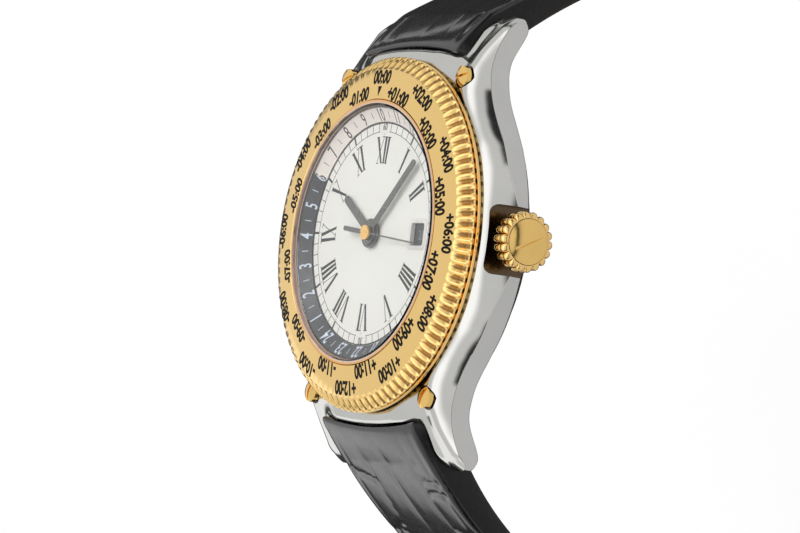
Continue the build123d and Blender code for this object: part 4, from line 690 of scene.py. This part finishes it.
# Printing: thin closed slabs of paint laid on a flat or conical surface
class Print:
    """Collects thin slabs and makes one piece of them."""

    def __init__(self, thickness):
        self.thickness = thickness
        self.points = []
        self.faces = []

    def slab(self, outline, bend):
        """A closed slab from an outline of (x, y), each corner placed by bend(x, y, height)."""
        self.faces.extend(prism_faces(len(outline), len(self.points)))
        for height in (0.0, self.thickness):
            self.points.extend(bend(x, y, height) for x, y in outline)

    def text(self, body, size, width, weight, bend):
        """Plain figures about the origin, width times as wide as usual."""
        curve = bpy.data.curves.new("figures", "FONT")
        curve.body = body
        curve.size = size
        curve.align_x = "CENTER"
        curve.offset = weight
        curve.extrude = self.thickness / 2
        curve.resolution_u = 3
        holder = bpy.data.objects.new("figures", curve)
        scene.collection.objects.link(holder)
        view = bpy.context.evaluated_depsgraph_get()
        mesh = bpy.data.meshes.new_from_object(holder.evaluated_get(view))
        start = len(self.points)
        middle = size * 0.36
        for vertex in mesh.vertices:
            x, y, z = vertex.co
            self.points.append(bend(x * width, y - middle, z + self.thickness / 2))
        for face in mesh.polygons:
            self.faces.append([start + index for index in face.vertices])
        bpy.data.objects.remove(holder)
        bpy.data.curves.remove(curve)
        bpy.data.meshes.remove(mesh)

    def make(self, name, material, body):
        return make_piece(name, self.points, self.faces, material, body)


def make_piece(name, points, faces, material, body, smooth=False):
    piece = new_piece(name, points, faces, [material])
    piece.data.validate()
    for polygon in piece.data.polygons:
        polygon.use_smooth = smooth
    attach(piece, body)
    return piece


def around(angle, radius, height_at, flat=False):
    """A bend that sets x along a circle, y outwards and height above a surface, clockwise from twelve."""
    def bend(x, y, height):
        if flat:
            outward = Vector((math.sin(angle), math.cos(angle)))
            along = Vector((math.cos(angle), -math.sin(angle)))
            spot = outward * (radius + y) + along * x
            return Vector((spot.x, spot.y, height_at(spot.length) + height))
        turn = angle + x / radius
        reach = radius + y
        return Vector((reach * math.sin(turn), reach * math.cos(turn), height_at(reach) + height))
    return bend


def dial_surface(radius):
    return dial_top


def ring_surface(radius):
    return ring_foot + (radius - ring_inner) / (ring_outer - ring_inner) * (ring_top - ring_foot)


def bezel_surface(radius):
    share = (radius - bezel_inner) / (bezel_edge_radius - bezel_inner)
    return bezel_top - share * (bezel_top - bezel_edge_top)


def oblong(half_width, half_height):
    return [(-half_width, -half_height), (half_width, -half_height), (half_width, half_height),
            (-half_width, half_height)]


def circle_line(sheet, inner, outer, height_at, start=0.0, sweep=360.0, steps=180):
    """A thin printed arc between two radii."""
    middle = (inner + outer) / 2
    step = math.radians(sweep) / steps
    for index in range(steps):
        angle = math.radians(start) + step * (index + 0.5)
        sheet.slab(oblong(step / 2 * middle, (outer - inner) / 2), around(angle, middle, height_at))


def bar(sheet, angle, inner, outer, width, height_at):
    """A straight printed stroke along a radius."""
    half = (outer - inner) / 2
    sheet.slab(oblong(width / 2, half), around(math.radians(angle), inner + half, height_at, flat=True))


def print_bezel(ink):
    """Plain hour offsets in two staggered rows around the bezel."""
    sheet = Print(0.012 * MM)
    outer_row, inner_row = 15.98 * MM, 14.42 * MM
    size, width, weight = 1.95 * MM, 0.74, 0.075 * MM
    arrow_row = 14.45 * MM
    for hour in range(24):
        offset = hour if hour <= 12 else hour - 24
        radius = outer_row if hour % 2 == 0 else inner_row
        body = f"{offset:+03d}:00" if offset else "00:00"
        sheet.text(body, size, width, weight, around(math.radians(hour * 15), radius, bezel_surface))
    sheet.slab([(0, -0.55 * MM), (0.33 * MM, 0.5 * MM), (-0.33 * MM, 0.5 * MM)],
               around(0.0, arrow_row, bezel_surface))
    sheet.make("bezel_numbers", ink, "bezel")


NUMERALS = {1: "I", 2: "II", 4: "IIII", 5: "V", 6: "VI", 7: "VII", 8: "VIII", 9: "IX", 10: "X", 11: "XI",
            12: "XII"}


def numeral_strokes(word, height, thick, thin, gap):
    """Thick and thin strokes of a roman numeral with flat serifs, as outlines set about x = 0."""
    widths = {"I": thick, "V": 0.40 * height, "X": 0.42 * height}
    total = sum(widths[letter] for letter in word) + gap * (len(word) - 1)
    at = -total / 2
    strokes = []
    serif = thin * 1.1
    top, low = height / 2, -height / 2

    def leg(x_top, x_low, width):
        strokes.append([(x_low - width / 2, low), (x_low + width / 2, low), (x_top + width / 2, top),
                        (x_top - width / 2, top)])

    def foot(x, y, width, up):
        strokes.append([(x - width / 2, y), (x + width / 2, y), (x + width / 2, y + serif * up),
                        (x - width / 2, y + serif * up)][::up])

    for letter in word:
        width = widths[letter]
        left, right = at, at + width
        middle = (left + right) / 2
        if letter == "I":
            leg(middle, middle, thick)
            foot(middle, low, thick * 1.9, 1)
            foot(middle, top, thick * 1.9, -1)
        if letter == "V":
            leg(left + thick / 2, middle, thick)
            leg(right - thin / 2, middle + thick * 0.3, thin)
            foot(left + thick / 2, top, thick * 1.7, -1)
            foot(right - thin / 2, top, thick * 1.3, -1)
        if letter == "X":
            leg(left + thick / 2, right - thick / 2, thick)
            leg(right - thin / 2, left + thin / 2, thin)
            for x in (left + thick / 2, right - thick / 2):
                foot(x, top, thick * 1.4, -1)
                foot(x, low, thick * 1.4, 1)
        at = right + gap
    return strokes


def print_dial(ink, dot_paint):
    """Railway minute track, minute figures, roman numerals and small dots."""
    sheet = Print(0.01 * MM)
    track_inner = 10.45 * MM
    track_outer = dial_radius - 0.02 * MM
    half_line = 0.03 * MM
    gap = 5.2
    circle_line(sheet, track_outer - 0.14 * MM, track_outer, dial_surface)
    for start in (0, 180):
        circle_line(sheet, track_inner - half_line, track_inner + half_line, dial_surface, start + gap,
                    180 - gap * 2, 90)
    for minute in range(60):
        if minute in (0, 30):
            continue
        inset, width = (0.0, 0.24 * MM) if minute % 5 == 0 else (0.02 * MM, 0.07 * MM)
        bar(sheet, minute * 6, track_inner + inset, track_outer, width, dial_surface)
    figure_row = 10.98 * MM
    for figure in (60, 30):
        sheet.text(str(figure), 0.98 * MM, 0.82, 0.012 * MM,
                   around(math.radians(figure * 6), figure_row, dial_surface, flat=True))
    numeral_inner, numeral_outer = 7.2 * MM, 9.97 * MM
    thick, thin, spacing = 0.31 * MM, 0.075 * MM, 0.18 * MM
    for hour, word in NUMERALS.items():
        bend = around(math.radians(hour * 30), (numeral_inner + numeral_outer) / 2, dial_surface)
        for stroke in numeral_strokes(word, numeral_outer - numeral_inner, thick, thin, spacing):
            sheet.slab(stroke, bend)
    sheet.make("dial_printing", ink, "case")
    dots = Print(0.02 * MM)
    dot_radius, dot_row = 0.13 * MM, 10.2 * MM
    for hour in range(1, 13):
        if hour != 3:
            dots.slab(circle(dot_radius, steps=12),
                      around(math.radians(hour * 30), dot_row, dial_surface, flat=True))
    dots.make("dial_dots", dot_paint, "case")


def print_ring(paint, line_paint):
    """The hours from 1 to 24 with short bars between them."""
    sheet = Print(0.01 * MM)
    size, width, weight = 1.68 * MM, 0.76, 0.016 * MM
    middle = (ring_inner + ring_outer) / 2
    for hour in range(1, 25):
        angle = (hour - HOUR_AT_TOP) * 15
        sheet.text(str(hour), size, width, weight,
                   around(math.radians(angle), middle - 0.02 * MM, ring_surface))
        bar(sheet, angle + 7.5, middle - 0.33 * MM, middle + 0.27 * MM, 0.07 * MM, ring_surface)
    sheet.make("ring_numbers", paint, "day_ring")
    edge = Print(0.01 * MM)
    circle_line(edge, ring_outer - 0.1 * MM, ring_outer - 0.02 * MM, ring_surface)
    edge.make("ring_edge_line", line_paint, "day_ring")


def rounded_frame(width, height, corner, steps=5):
    """Corners of a rectangle with rounded corners about the origin."""
    points = []
    for quarter, (sx, sy) in enumerate(((1, 1), (-1, 1), (-1, -1), (1, -1))):
        centre = (sx * (width / 2 - corner), sy * (height / 2 - corner))
        for step in range(steps + 1):
            angle = math.radians(90 * quarter + 90 * step / steps)
            points.append((centre[0] + corner * math.cos(angle), centre[1] + corner * math.sin(angle)))
    return points


def date_window(frame_paint):
    """A raised pale frame around the date window."""
    window_middle = 8.5 * MM
    rise = 0.07 * MM
    inner = rounded_frame(2.4 * MM, 2.3 * MM, 0.3 * MM)
    outer = rounded_frame(3.3 * MM, 3.2 * MM, 0.6 * MM)
    crest = rounded_frame(3.0 * MM, 2.9 * MM, 0.5 * MM)
    points = []
    rings = ((outer, 0.0), (outer, rise * 0.4), (crest, rise), (inner, rise), (inner, 0.0))
    for outline, height in rings:
        points.extend((window_middle + x, y, dial_top + height) for x, y in outline)
    make_piece("date_window_frame", points, skin_faces(len(rings), len(inner)), frame_paint, "case")


def print_dates(paint):
    """The dates on the disc, upright in the window."""
    sheet = Print(0.01 * MM)
    date_row, shown = 8.55 * MM, 28
    size, width, weight = 1.5 * MM, 0.8, 0.02 * MM
    for date in range(1, 32):
        bend = around(math.radians(90 + (shown - date) * 360 / 31), date_row, lambda radius: date_top)
        sheet.text(str(date), size, width, weight, lambda x, y, height: bend(-y, x, height))
    sheet.make("dates", paint, "date")


# Strap: each half is one closed mesh around its middle line, with crowned leather and scales
def raised(place, heading, height):
    """A place moved square to a heading, to its left for a positive height."""
    turn = math.radians(heading + 90)
    return place[0] + math.cos(turn) * height, place[1] + math.sin(turn) * height


class Path:
    """A line in the YZ plane made of bends and runs, read by its length."""

    def __init__(self, point, heading):
        self.parts = []
        self.point = point
        self.heading = heading
        self.length = 0.0

    def bend(self, radius, turn):
        """Go on round an arc that turns down by an angle in degrees."""
        centre = raised(self.point, self.heading, -radius)
        self.parts.append((self.length, centre, radius, self.heading))
        self.length += radius * math.radians(turn)
        self.heading -= turn
        self.point = raised(centre, self.heading, radius)

    def run(self, length):
        """Go straight on."""
        self.parts.append((self.length, self.point, None, self.heading))
        self.length += length
        self.point = raised(self.point, self.heading - 90, length)

    def at(self, reach):
        """The point and the heading, in degrees, at a length along the line."""
        start, place, radius, heading = [part for part in self.parts if part[0] <= reach][-1]
        along = reach - start
        if radius is None:
            return raised(place, heading - 90, along), heading
        heading -= math.degrees(along / radius)
        return raised(place, heading, radius), heading


def wobble(seed, count=5):
    """A smooth wavy function of one value, the same on each run."""
    chance = random.Random(seed)
    waves = [(chance.uniform(0.5, 1.6) * (number + 1), chance.uniform(0, math.tau), 1 / (number + 1.5))
             for number in range(count)]
    return lambda value: sum(size * math.sin(pace * value + phase) for pace, phase, size in waves)


def groove(distance, width):
    """1 in the middle of a groove, fading to 0 at its width."""
    share = min(1.0, abs(distance) / width)
    return (1 - share * share) ** 2


def scale_relief(seed, length):
    """A function that says how deep the leather is creased at a place along and across the strap."""
    chance = random.Random(seed)
    columns = (-4.9, 0.6, 4.6)
    waves = [wobble(seed * 10 + index) for index in range(len(columns))]
    rows = []
    for column in range(len(columns) + 1):
        at = chance.uniform(-4, 2)
        places = []
        while at < length / MM:
            edge = column in (0, len(columns))
            at += chance.uniform(2.2, 3.8) if edge else chance.uniform(11.0, 22.0)
            strength = chance.uniform(1.0, 1.7) if edge else chance.uniform(0.4, 0.8)
            places.append((at, strength, chance.uniform(-0.3, 0.3)))
        rows.append(places)

    def depth(along, across):
        along, across = along / MM, across / MM
        lines = [columns[index] + 0.75 * waves[index](along * 0.09) for index in range(len(columns))]
        total = 0.0
        for line in lines:
            total = max(total, groove(across - line, 0.30) * 0.55, groove(across - line, 1.3) * 0.25)
        column = sum(1 for line in lines if across > line)
        for at, strength, lean in rows[column]:
            offset = along - at - lean * across - 0.25 * waves[0](across * 0.9 + at)
            if abs(offset) < 1.2:
                total = max(total, groove(offset, 0.3) * strength * 0.8,
                            groove(offset, 1.1) * 0.3 * strength)
        return total
    return depth


NOSE_STEPS = 20
COLUMNS = 61
# The leather stands higher over its first stretch, and its crown falls off towards its edges
LIFT = 0.85 * MM
LIFT_REACH = 14 * MM
EDGE_DROP = 0.07
EDGE_REACH = 4.2 * MM
STITCH_INSET = 1.35 * MM
# The case's end wall, which the leather meets: its place in the middle, and how wide its curve is
END_WALL = 19.2 * MM
WALL_CURVE = 100 * MM


def crown_share(from_edge):
    return 1 - EDGE_DROP * (1 - min(1.0, from_edge / EDGE_REACH)) ** 2.2


def nose(across, start, foot):
    """The leather's end at one place across, as two lines that start on the case's end wall.

    The outer one goes up the wall and on to the strap, the inner one down the wall and round the spring bar.
    """
    gap, middle = 0.12 * MM, 4.5 * MM
    wall = END_WALL - across ** 2 / WALL_CURVE + gap
    crest = (wall + 0.35 * MM, 7.7 * MM)
    outer = [(wall, middle), (wall, 7.1 * MM), (wall + 0.08 * MM, 7.45 * MM)]
    for share in (0.0, 0.2, 0.4, 0.6, 0.8, 1.0):
        outer.append((crest[0] + (start[0] - crest[0]) * share,
                      crest[1] + (start[1] - crest[1]) * share ** 1.25))
    inner = [(wall, middle), (wall, 2.9 * MM), (wall + 0.15 * MM, 2.2 * MM),
             (foot[0] - 0.35 * MM, foot[1] + 0.2 * MM), foot]
    return spread_points(outer), spread_points(inner)


def spread_points(line):
    """Points along a line, without its last one, the same number between each two of its own."""
    places = np.linspace(0, len(line) - 1, NOSE_STEPS, endpoint=False)
    corners = np.array(line)
    numbers = range(len(line))
    return [(np.interp(place, numbers, corners[:, 0]), np.interp(place, numbers, corners[:, 1]))
            for place in places]


def strap_section(half_thickness, half_width, along, end_share, relief):
    """One row across the strap: the places across, and the heights of the outer and of the inner side."""
    edge_round, edge_fall, fade_width, fade_thickness = 0.55 * MM, 0.30, 0.9 * MM, 0.8 * MM
    crease_depth, stitch_depth = 0.13 * MM, 0.05 * MM
    settled = min(1.0, max(0.0, along / LIFT_REACH))
    places = [(2 * column / (COLUMNS - 1) - 1) * half_width for column in range(COLUMNS)]
    heights, lows = [], []
    for across in places:
        from_edge = half_width - abs(across)
        soft = 1 - min(1.0, from_edge / edge_round)
        crown = crown_share(from_edge) - edge_fall * soft * soft
        fade = min(1.0, from_edge / fade_width) * min(1.0, half_thickness / fade_thickness)
        height = half_thickness * crown * end_share + LIFT * (1 - settled) ** 2
        height -= relief(along, across) * crease_depth * fade
        heights.append(height - groove((from_edge - STITCH_INSET) / MM, 0.4) * stitch_depth)
        lows.append(-half_thickness * (1 - edge_fall * soft * soft) * end_share)
    return places, heights, lows


def strap_points(path, width_at, thickness_at, tip_width, flip, seed):
    """Rows of points, each across the outer side and then the inner side: first the nose, then the strap."""
    step, end_round, least_width = 0.30 * MM, 0.8 * MM, 0.4 * MM
    count = int(path.length / step)
    relief = scale_relief(seed, path.length)
    points = []
    for index in range(count + 1):
        along = path.length * index / count
        left = path.length - along
        place, heading = path.at(along)
        half = width_at(place[1]) / 2
        if tip_width and left < tip_width:
            tip_half = math.sqrt(max(0.0, tip_width ** 2 - (tip_width - left) ** 2))
            half = max(min(half, tip_half), least_width)
        end_share = 1.0
        if left < end_round:
            end_share = max(0.3, math.sqrt(max(0.0, left) / end_round))
        places, heights, lows = strap_section(thickness_at(along) / 2, half, along, end_share, relief)
        outer = [raised(place, heading, height) for height in heights]
        inner = [raised(place, heading, low) for low in lows]
        sides = [outer, inner]
        if index == 0:
            noses = [nose(*ends) for ends in zip(places, outer, inner)]
            sides = [[lines[side][number] for lines in noses] for number in range(NOSE_STEPS)
                     for side in (0, 1)] + sides
        for side in sides:
            points.extend(Vector((x, y * flip, z)) for x, (y, z) in zip(places, side))
    return points


def build_strap(name, path, width_at, thickness_at, tip_width, flip, materials, seed):
    """A closed mesh with the first material outside, the second inside and the third along its edges."""
    points = strap_points(path, width_at, thickness_at, tip_width, flip, seed)
    faces, slots = [], []

    def quad(a, b, c, d, slot):
        faces.append([a, b, c, d][::flip])
        slots.append(slot)

    stride = COLUMNS * 2
    end = len(points) - stride
    for here in range(0, end, stride):
        after = here + stride
        for column in range(COLUMNS - 1):
            quad(here + column, here + column + 1, after + column + 1, after + column, 0)
            low_here, low_after = here + COLUMNS, after + COLUMNS
            quad(low_here + column + 1, low_here + column, low_after + column, low_after + column + 1, 1)
        quad(here + COLUMNS, here, after, after + COLUMNS, 2)
        quad(here + COLUMNS - 1, here + stride - 1, after + stride - 1, after + COLUMNS - 1, 2)
    for column in range(COLUMNS - 1):
        quad(COLUMNS + column, COLUMNS + column + 1, column + 1, column, 0)
        quad(end + column, end + column + 1, end + COLUMNS + column + 1, end + COLUMNS + column, 2)
    piece = new_piece(name, points, faces, materials)
    for polygon, slot in zip(piece.data.polygons, slots):
        polygon.material_index = slot
        polygon.use_smooth = True
    return piece


def cut(piece, cutters):
    """Take other closed meshes out of a piece."""
    for cutter in cutters:
        modifier = piece.modifiers.new("cut", "BOOLEAN")
        modifier.operation = "DIFFERENCE"
        modifier.solver = "EXACT"
        modifier.object = cutter
    view = bpy.context.evaluated_depsgraph_get()
    mesh = bpy.data.meshes.new_from_object(piece.evaluated_get(view))
    piece.modifiers.clear()
    piece.data = mesh
    for cutter in cutters:
        bpy.data.objects.remove(cutter)


def plug(outline, path, reach, depth, flip=1):
    """A prism that stands square to the strap at a place along it, for cutting."""
    place, heading = path.at(reach)
    points = []
    for side in (-depth, depth):
        for x, along in outline:
            y, z = raised(raised(place, heading - 90, -along), heading, side)
            points.append(Vector((x, y * flip, z)))
    return closed_piece("cutter", points, prism_faces(len(outline)))


def leather(name, colour, roughness, scale, depth, coat):
    """Glossy grained leather."""
    material, nodes, shader = new_material(name)
    cells = nodes.add("ShaderNodeTexVoronoi")
    set_inputs(cells, Scale=scale)
    nodes.link(nodes.add("ShaderNodeTexCoord").outputs["Object"], cells.inputs["Vector"])
    soft = nodes.noise(scale * 0.35, 3.0)
    grain = nodes.math("ADD", nodes.ramp(cells.outputs["Distance"], 0.0, 0.6), nodes.times(soft, 0.8))
    nodes.bump(grain, depth, shader)
    dark = tuple(channel * 0.6 for channel in colour)
    nodes.link(nodes.mix(nodes.ramp(soft, 0.35, 0.65), dark, colour), shader.inputs["Base Color"])
    nodes.link(nodes.ramp(soft, 0.3, 0.7, roughness - 0.05, roughness + 0.05), shader.inputs["Roughness"])
    set_inputs(shader, Coat_Weight=coat, Coat_Roughness=0.09, Specular_IOR_Level=0.2)
    return material


def stitches(name, path, width_at, thickness_at, body, end, flip, thread):
    """Short sunken stitches along both edges of a strap half."""
    start, pitch, covered = 3 * MM, 2.1 * MM, 0.72
    radius, depth, dip = 0.13 * MM, 0.11 * MM, 0.14 * MM
    shares = (-0.5, -0.38, -0.2, 0.0, 0.2, 0.38, 0.5)
    sides = 6
    points, faces = [], []
    for index in range(int((end - start) / pitch)):
        middle = start + pitch * (index + 0.5)
        for side in (-1, 1):
            base = len(points)
            for share in shares:
                place, heading = path.at(middle + share * pitch * covered)
                line = side * (width_at(place[1]) / 2 - STITCH_INSET)
                at_end = (2 * abs(share)) ** 4
                height = thickness_at(middle) / 2 * crown_share(STITCH_INSET) - depth - dip * at_end
                thick = radius * (1 - 0.5 * at_end)
                for corner in range(sides):
                    angle = math.tau * corner / sides
                    y, z = raised(place, heading, height + thick * math.sin(angle))
                    points.append(Vector((line + thick * math.cos(angle), y * flip, z)))
            last = base + (len(shares) - 1) * sides
            tube = [[low + corner, low + (corner + 1) % sides, low + sides + (corner + 1) % sides,
                     low + sides + corner] for low in range(base, last, sides) for corner in range(sides)]
            tube += [list(range(base, base + sides))[::-1], list(range(last, last + sides))]
            faces.extend(face[::flip] for face in tube)
    make_piece(name, points, faces, thread, body, smooth=True)


def narrowing(foot):
    """The strap's width at a height, narrowing from the lugs down to a foot."""
    top, wide, loss = 6.1 * MM, 17.6 * MM, 1.6 * MM
    return lambda height: wide - loss * min(1.0, max(0.0, (top - height) / (top - foot)))


def tapering(reach):
    """The strap's thickness at a length, thinning until a reach."""
    thick, loss = 3.4 * MM, 1.2 * MM
    return lambda along: thick - loss * min(1.0, max(0.0, along / reach))


# The middle lines of both halves start at the spring bars
STRAP_ROOT = (21.5 * MM, 2.7 * MM)
UPPER_RADIUS = 62 * MM
UPPER_TURN = 40
LOWER_RADIUS = 33 * MM
LOWER_TURN = 56
CURL_RADIUS = 20 * MM
UPPER_FOOT = -37.15 * MM
LOWER_FOOT = -24.66 * MM


def upper_path():
    path = Path(STRAP_ROOT, -50)
    path.bend(UPPER_RADIUS, UPPER_TURN)
    path.bend(CURL_RADIUS, 85)
    path.run(2 * MM)
    return path


def lower_path():
    path = Path(STRAP_ROOT, -34)
    path.bend(LOWER_RADIUS, LOWER_TURN)
    path.run(27 * MM)
    path.bend(CURL_RADIUS, 90)
    path.run(24.3 * MM)
    return path


def make_straps(materials, thread):
    """Both halves: the one at twelve with a slot for the tongue, the one at six with seven holes."""
    upper = upper_path()
    width_at, thickness_at = narrowing(UPPER_FOOT), tapering(UPPER_RADIUS * math.radians(UPPER_TURN))
    slot = oblong(1.1 * MM, 4 * MM)
    piece = build_strap("strap_half_12", upper, width_at, thickness_at, 0, 1, materials, 3)
    cut(piece, [plug(slot, upper, upper.length, 4 * MM)])
    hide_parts("strap_12")
    finish_leather(piece)
    stitches("stitches_12", upper, width_at, thickness_at, "strap_12", upper.length - 6 * MM, 1, thread)
    lower = lower_path()
    width_at, thickness_at = narrowing(LOWER_FOOT), tapering(LOWER_RADIUS * math.radians(LOWER_TURN))
    hole = circle(0.9 * MM, steps=24)
    first_hole, pitch, holes, tip_width = 9 * MM, 6.2 * MM, 7, 11 * MM
    piece = build_strap("strap_half_6", lower, width_at, thickness_at, tip_width, -1, materials, 5)
    cut(piece, [plug(hole, lower, lower.length - first_hole - pitch * number, 3 * MM, flip=-1)
                for number in range(holes)])
    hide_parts("strap_6")
    finish_leather(piece)
    stitches("stitches_6", lower, width_at, thickness_at, "strap_6", lower.length - 14 * MM, -1, thread)


def finish_leather(piece):
    """Bake the piece's placement into its mesh."""
    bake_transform(piece)


def make_keeper(name, node, body, reach, gap, material):
    """A band of leather around the strap, bent at four round corners."""
    place, heading = upper_path().at(reach)
    thickness, width, corner = 1.0 * MM, 4.5 * MM, 1.1 * MM
    room, half_strap, half_width = 2.6 * MM, 1.1 * MM, 8.0 * MM
    side_round, face_round, inner_share = 0.42, 0.55, 0.82
    half = half_width + gap + thickness / 2
    bottom = -half_strap - gap - thickness / 2
    top = half_strap + gap + room + thickness / 2
    centre_line = [Vector((x, v + (top + bottom) / 2)) for x, v in
                   rounded_frame(half * 2, top - bottom, corner, steps=8)]
    profile = []
    for index in range(24):
        along, rise = math.cos(math.tau * index / 24), math.sin(math.tau * index / 24)
        side = 1 if rise > 0 else inner_share
        profile.append((math.copysign(abs(along) ** side_round, along) * width / 2,
                        math.copysign(abs(rise) ** face_round, rise) * thickness / 2 * side))
    points = []
    for index, spot in enumerate(centre_line):
        tangent = (centre_line[(index + 1) % len(centre_line)] - centre_line[index - 1]).normalized()
        for along, rise in profile:
            x, height = spot + Vector((tangent.y, -tangent.x)) * rise
            points.append(Vector((x, *raised(raised(place, heading - 90, along), heading, height))))
    piece = make_piece(name, points, skin_faces(len(centre_line), len(profile)), material, body,
                       smooth=True)
    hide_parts(node)


def make_keepers(material):
    loose_reach = UPPER_RADIUS * math.radians(33)
    fixed_reach = UPPER_RADIUS * math.radians(UPPER_TURN) + CURL_RADIUS * math.radians(66)
    make_keeper("keeper_loose", "loose_keeper", "loose_keeper", loose_reach, 0.3 * MM, material)
    make_keeper("keeper_fixed", "fixed_keeper", "strap_12", fixed_reach, 0.15 * MM, material)


# Floor, background and lights
def flat_piece(name, low, high, height, material):
    """A level rectangle."""
    corners = [(low[0], low[1], height), (high[0], low[1], height), (high[0], high[1], height),
               (low[0], high[1], height)]
    return new_piece(name, corners, [[0, 1, 2, 3]], [material])


def make_floor():
    """A pale floor that looks white to the camera."""
    size = 3.0
    material, nodes, shader = new_material("floor")
    set_inputs(shader, Roughness=0.9, Specular_IOR_Level=0.1, Emission_Color=(1, 1, 1, 1))
    grey = nodes.mix(nodes.noise(40.0), (0.80, 0.80, 0.80), (0.82, 0.82, 0.82))
    nodes.link(grey, shader.inputs["Base Color"])
    seen, reflected = nodes.rays()
    shown = nodes.math("ADD", nodes.times(seen, 0.42), nodes.times(reflected, 0.12))
    nodes.link(shown, shader.inputs["Emission Strength"])
    floor = flat_piece("floor", (-size, -size), (size, size), floor_height, material)


def make_card(name, low, high):
    """A black card lying on the floor that only reflections see."""
    material = surface(name, (0.01, 0.01, 0.01), 0.9)[0]
    card = flat_piece(name, low, high, floor_height + 0.2 * MM, material)
    card.visible_camera = False
    card.visible_diffuse = False
    card.visible_shadow = False
    card.visible_transmission = False


def make_world():
    """White for the camera, and a soft studio of pale and dark areas for reflections."""
    world = bpy.data.worlds.new("studio")
    world.use_nodes = True
    scene.world = world
    nodes = Nodes(world.node_tree)
    background = world.node_tree.nodes["Background"]
    set_inputs(background, Strength=1.0)
    direction = nodes.add("ShaderNodeSeparateXYZ")
    nodes.link(nodes.add("ShaderNodeTexCoord").outputs["Generated"], direction.inputs[0])
    x, y, z = direction.outputs
    aside = nodes.math("DIVIDE", nodes.math("ABSOLUTE", y), nodes.math("MAXIMUM", x, 0.01))
    # High in front is bright, low behind is pale towards six and dark towards twelve
    overhead = nodes.times(nodes.ramp(z, 0.46, 0.70), nodes.ramp(x, -0.05, 0.25))
    behind = nodes.times(nodes.band(z, 0.0, 0.06, 0.28, 0.40), nodes.ramp(x, -0.5, -0.3, 1.0, 0.0))
    towards_six = nodes.times(behind, nodes.ramp(y, -0.20, 0.05, 1.0, 0.0))
    towards_twelve = nodes.times(nodes.ramp(y, 0.10, 0.35), nodes.ramp(z, 0.16, 0.28, 1.0, 0.0))
    # Dark beside the object, and a thin dark line along the horizon in front
    beside = nodes.times(nodes.band(z, 0.06, 0.12, 0.24, 0.34), nodes.ramp(aside, 0.75, 1.05))
    beside = nodes.times(beside, nodes.ramp(x, 0.05, 0.20))
    horizon = nodes.times(nodes.ramp(z, 0.06, 0.14, 1.0, 0.0), nodes.ramp(x, 0.2, 0.4))
    colour = nodes.mix(overhead, (0.84, 0.84, 0.83), (1.60, 1.60, 1.58))
    colour = nodes.mix(towards_six, colour, (1.25, 1.25, 1.25))
    colour = nodes.mix(nodes.times(behind, towards_twelve), colour, (0.05, 0.05, 0.05))
    colour = nodes.mix(nodes.math("MAXIMUM", beside, horizon), colour, (0.03, 0.03, 0.03))
    seen, reflected = nodes.rays()
    colour = nodes.mix(nodes.math("MAXIMUM", reflected, seen), (0.47, 0.47, 0.47), colour)
    nodes.link(nodes.mix(seen, colour, (1.0, 1.0, 1.0)), background.inputs["Color"])


def make_lamp(name, place, size, power):
    """A square lamp that shines on the object and shows in no reflection."""
    data = bpy.data.lights.new(name, "AREA")
    data.shape = "SQUARE"
    data.size = size
    data.energy = power
    lamp = bpy.data.objects.new(name, data)
    lamp.rotation_euler = (-Vector(place)).to_track_quat("-Z", "Y").to_euler()
    lamp.location = place
    lamp.visible_glossy = False
    scene.collection.objects.link(lamp)


make_camera()
make_world()
make_floor()
make_lamp("key_lamp", (-0.10, 0.35, 0.75), 0.45, 2.2)
make_lamp("fill_lamp", (0.70, -0.35, 0.45), 0.60, 1.0)
make_card("side_card", (-1.3, -1.0), (-0.03, 1.0))
finishes = dress_frame()
make_case(finishes["case_steel"])
# The bezel's and the crown's gold has painted shade in the valleys between its ridges
make_bezel(ridged_gold("bezel_gold_valley_shade", 0.17, bezel_valleys))
make_crown(ridged_gold("crown_gold_valley_shade", 0.12, crown_valleys))
black_ink = surface("black_ink", INK, 0.55, scale=1500, Specular_IOR_Level=0.1)[0]
grey_ink = surface("grey_ink", (0.024, 0.025, 0.023), 0.5, scale=1500, Specular_IOR_Level=0.1)[0]
dot_paint = surface("dot_paint", (0.62, 0.66, 0.42), 0.6, scale=2500)[0]
print_bezel(black_ink)
print_dial(grey_ink, dot_paint)
ring_ink = ring_paint("ring_number_paint", (0.62, 0.70, 0.80), (0.060, 0.052, 0.048), 0.5, 900)
print_ring(ring_ink, grey_ink)
date_window(surface("window_frame_paint", (0.72, 0.70, 0.67), 0.35, scale=1100)[0])
print_dates(surface("date_ink", (0.16, 0.17, 0.17), 0.5, scale=1500)[0])
outer_leather = leather("strap_leather", (0.006, 0.006, 0.008), 0.26, 3400, 3e-6, 1.0)
lining = leather("strap_lining", (0.030, 0.024, 0.020), 0.55, 5200, 8e-6, 0.0)
edge_leather = leather("strap_edge", (0.008, 0.008, 0.009), 0.42, 1500, 45e-6, 0.15)
thread = surface("black_thread", (0.012, 0.012, 0.013), 0.6, scale=4200, bump=20e-6)[0]
make_straps((outer_leather, lining, edge_leather), thread)
make_keepers(outer_leather)
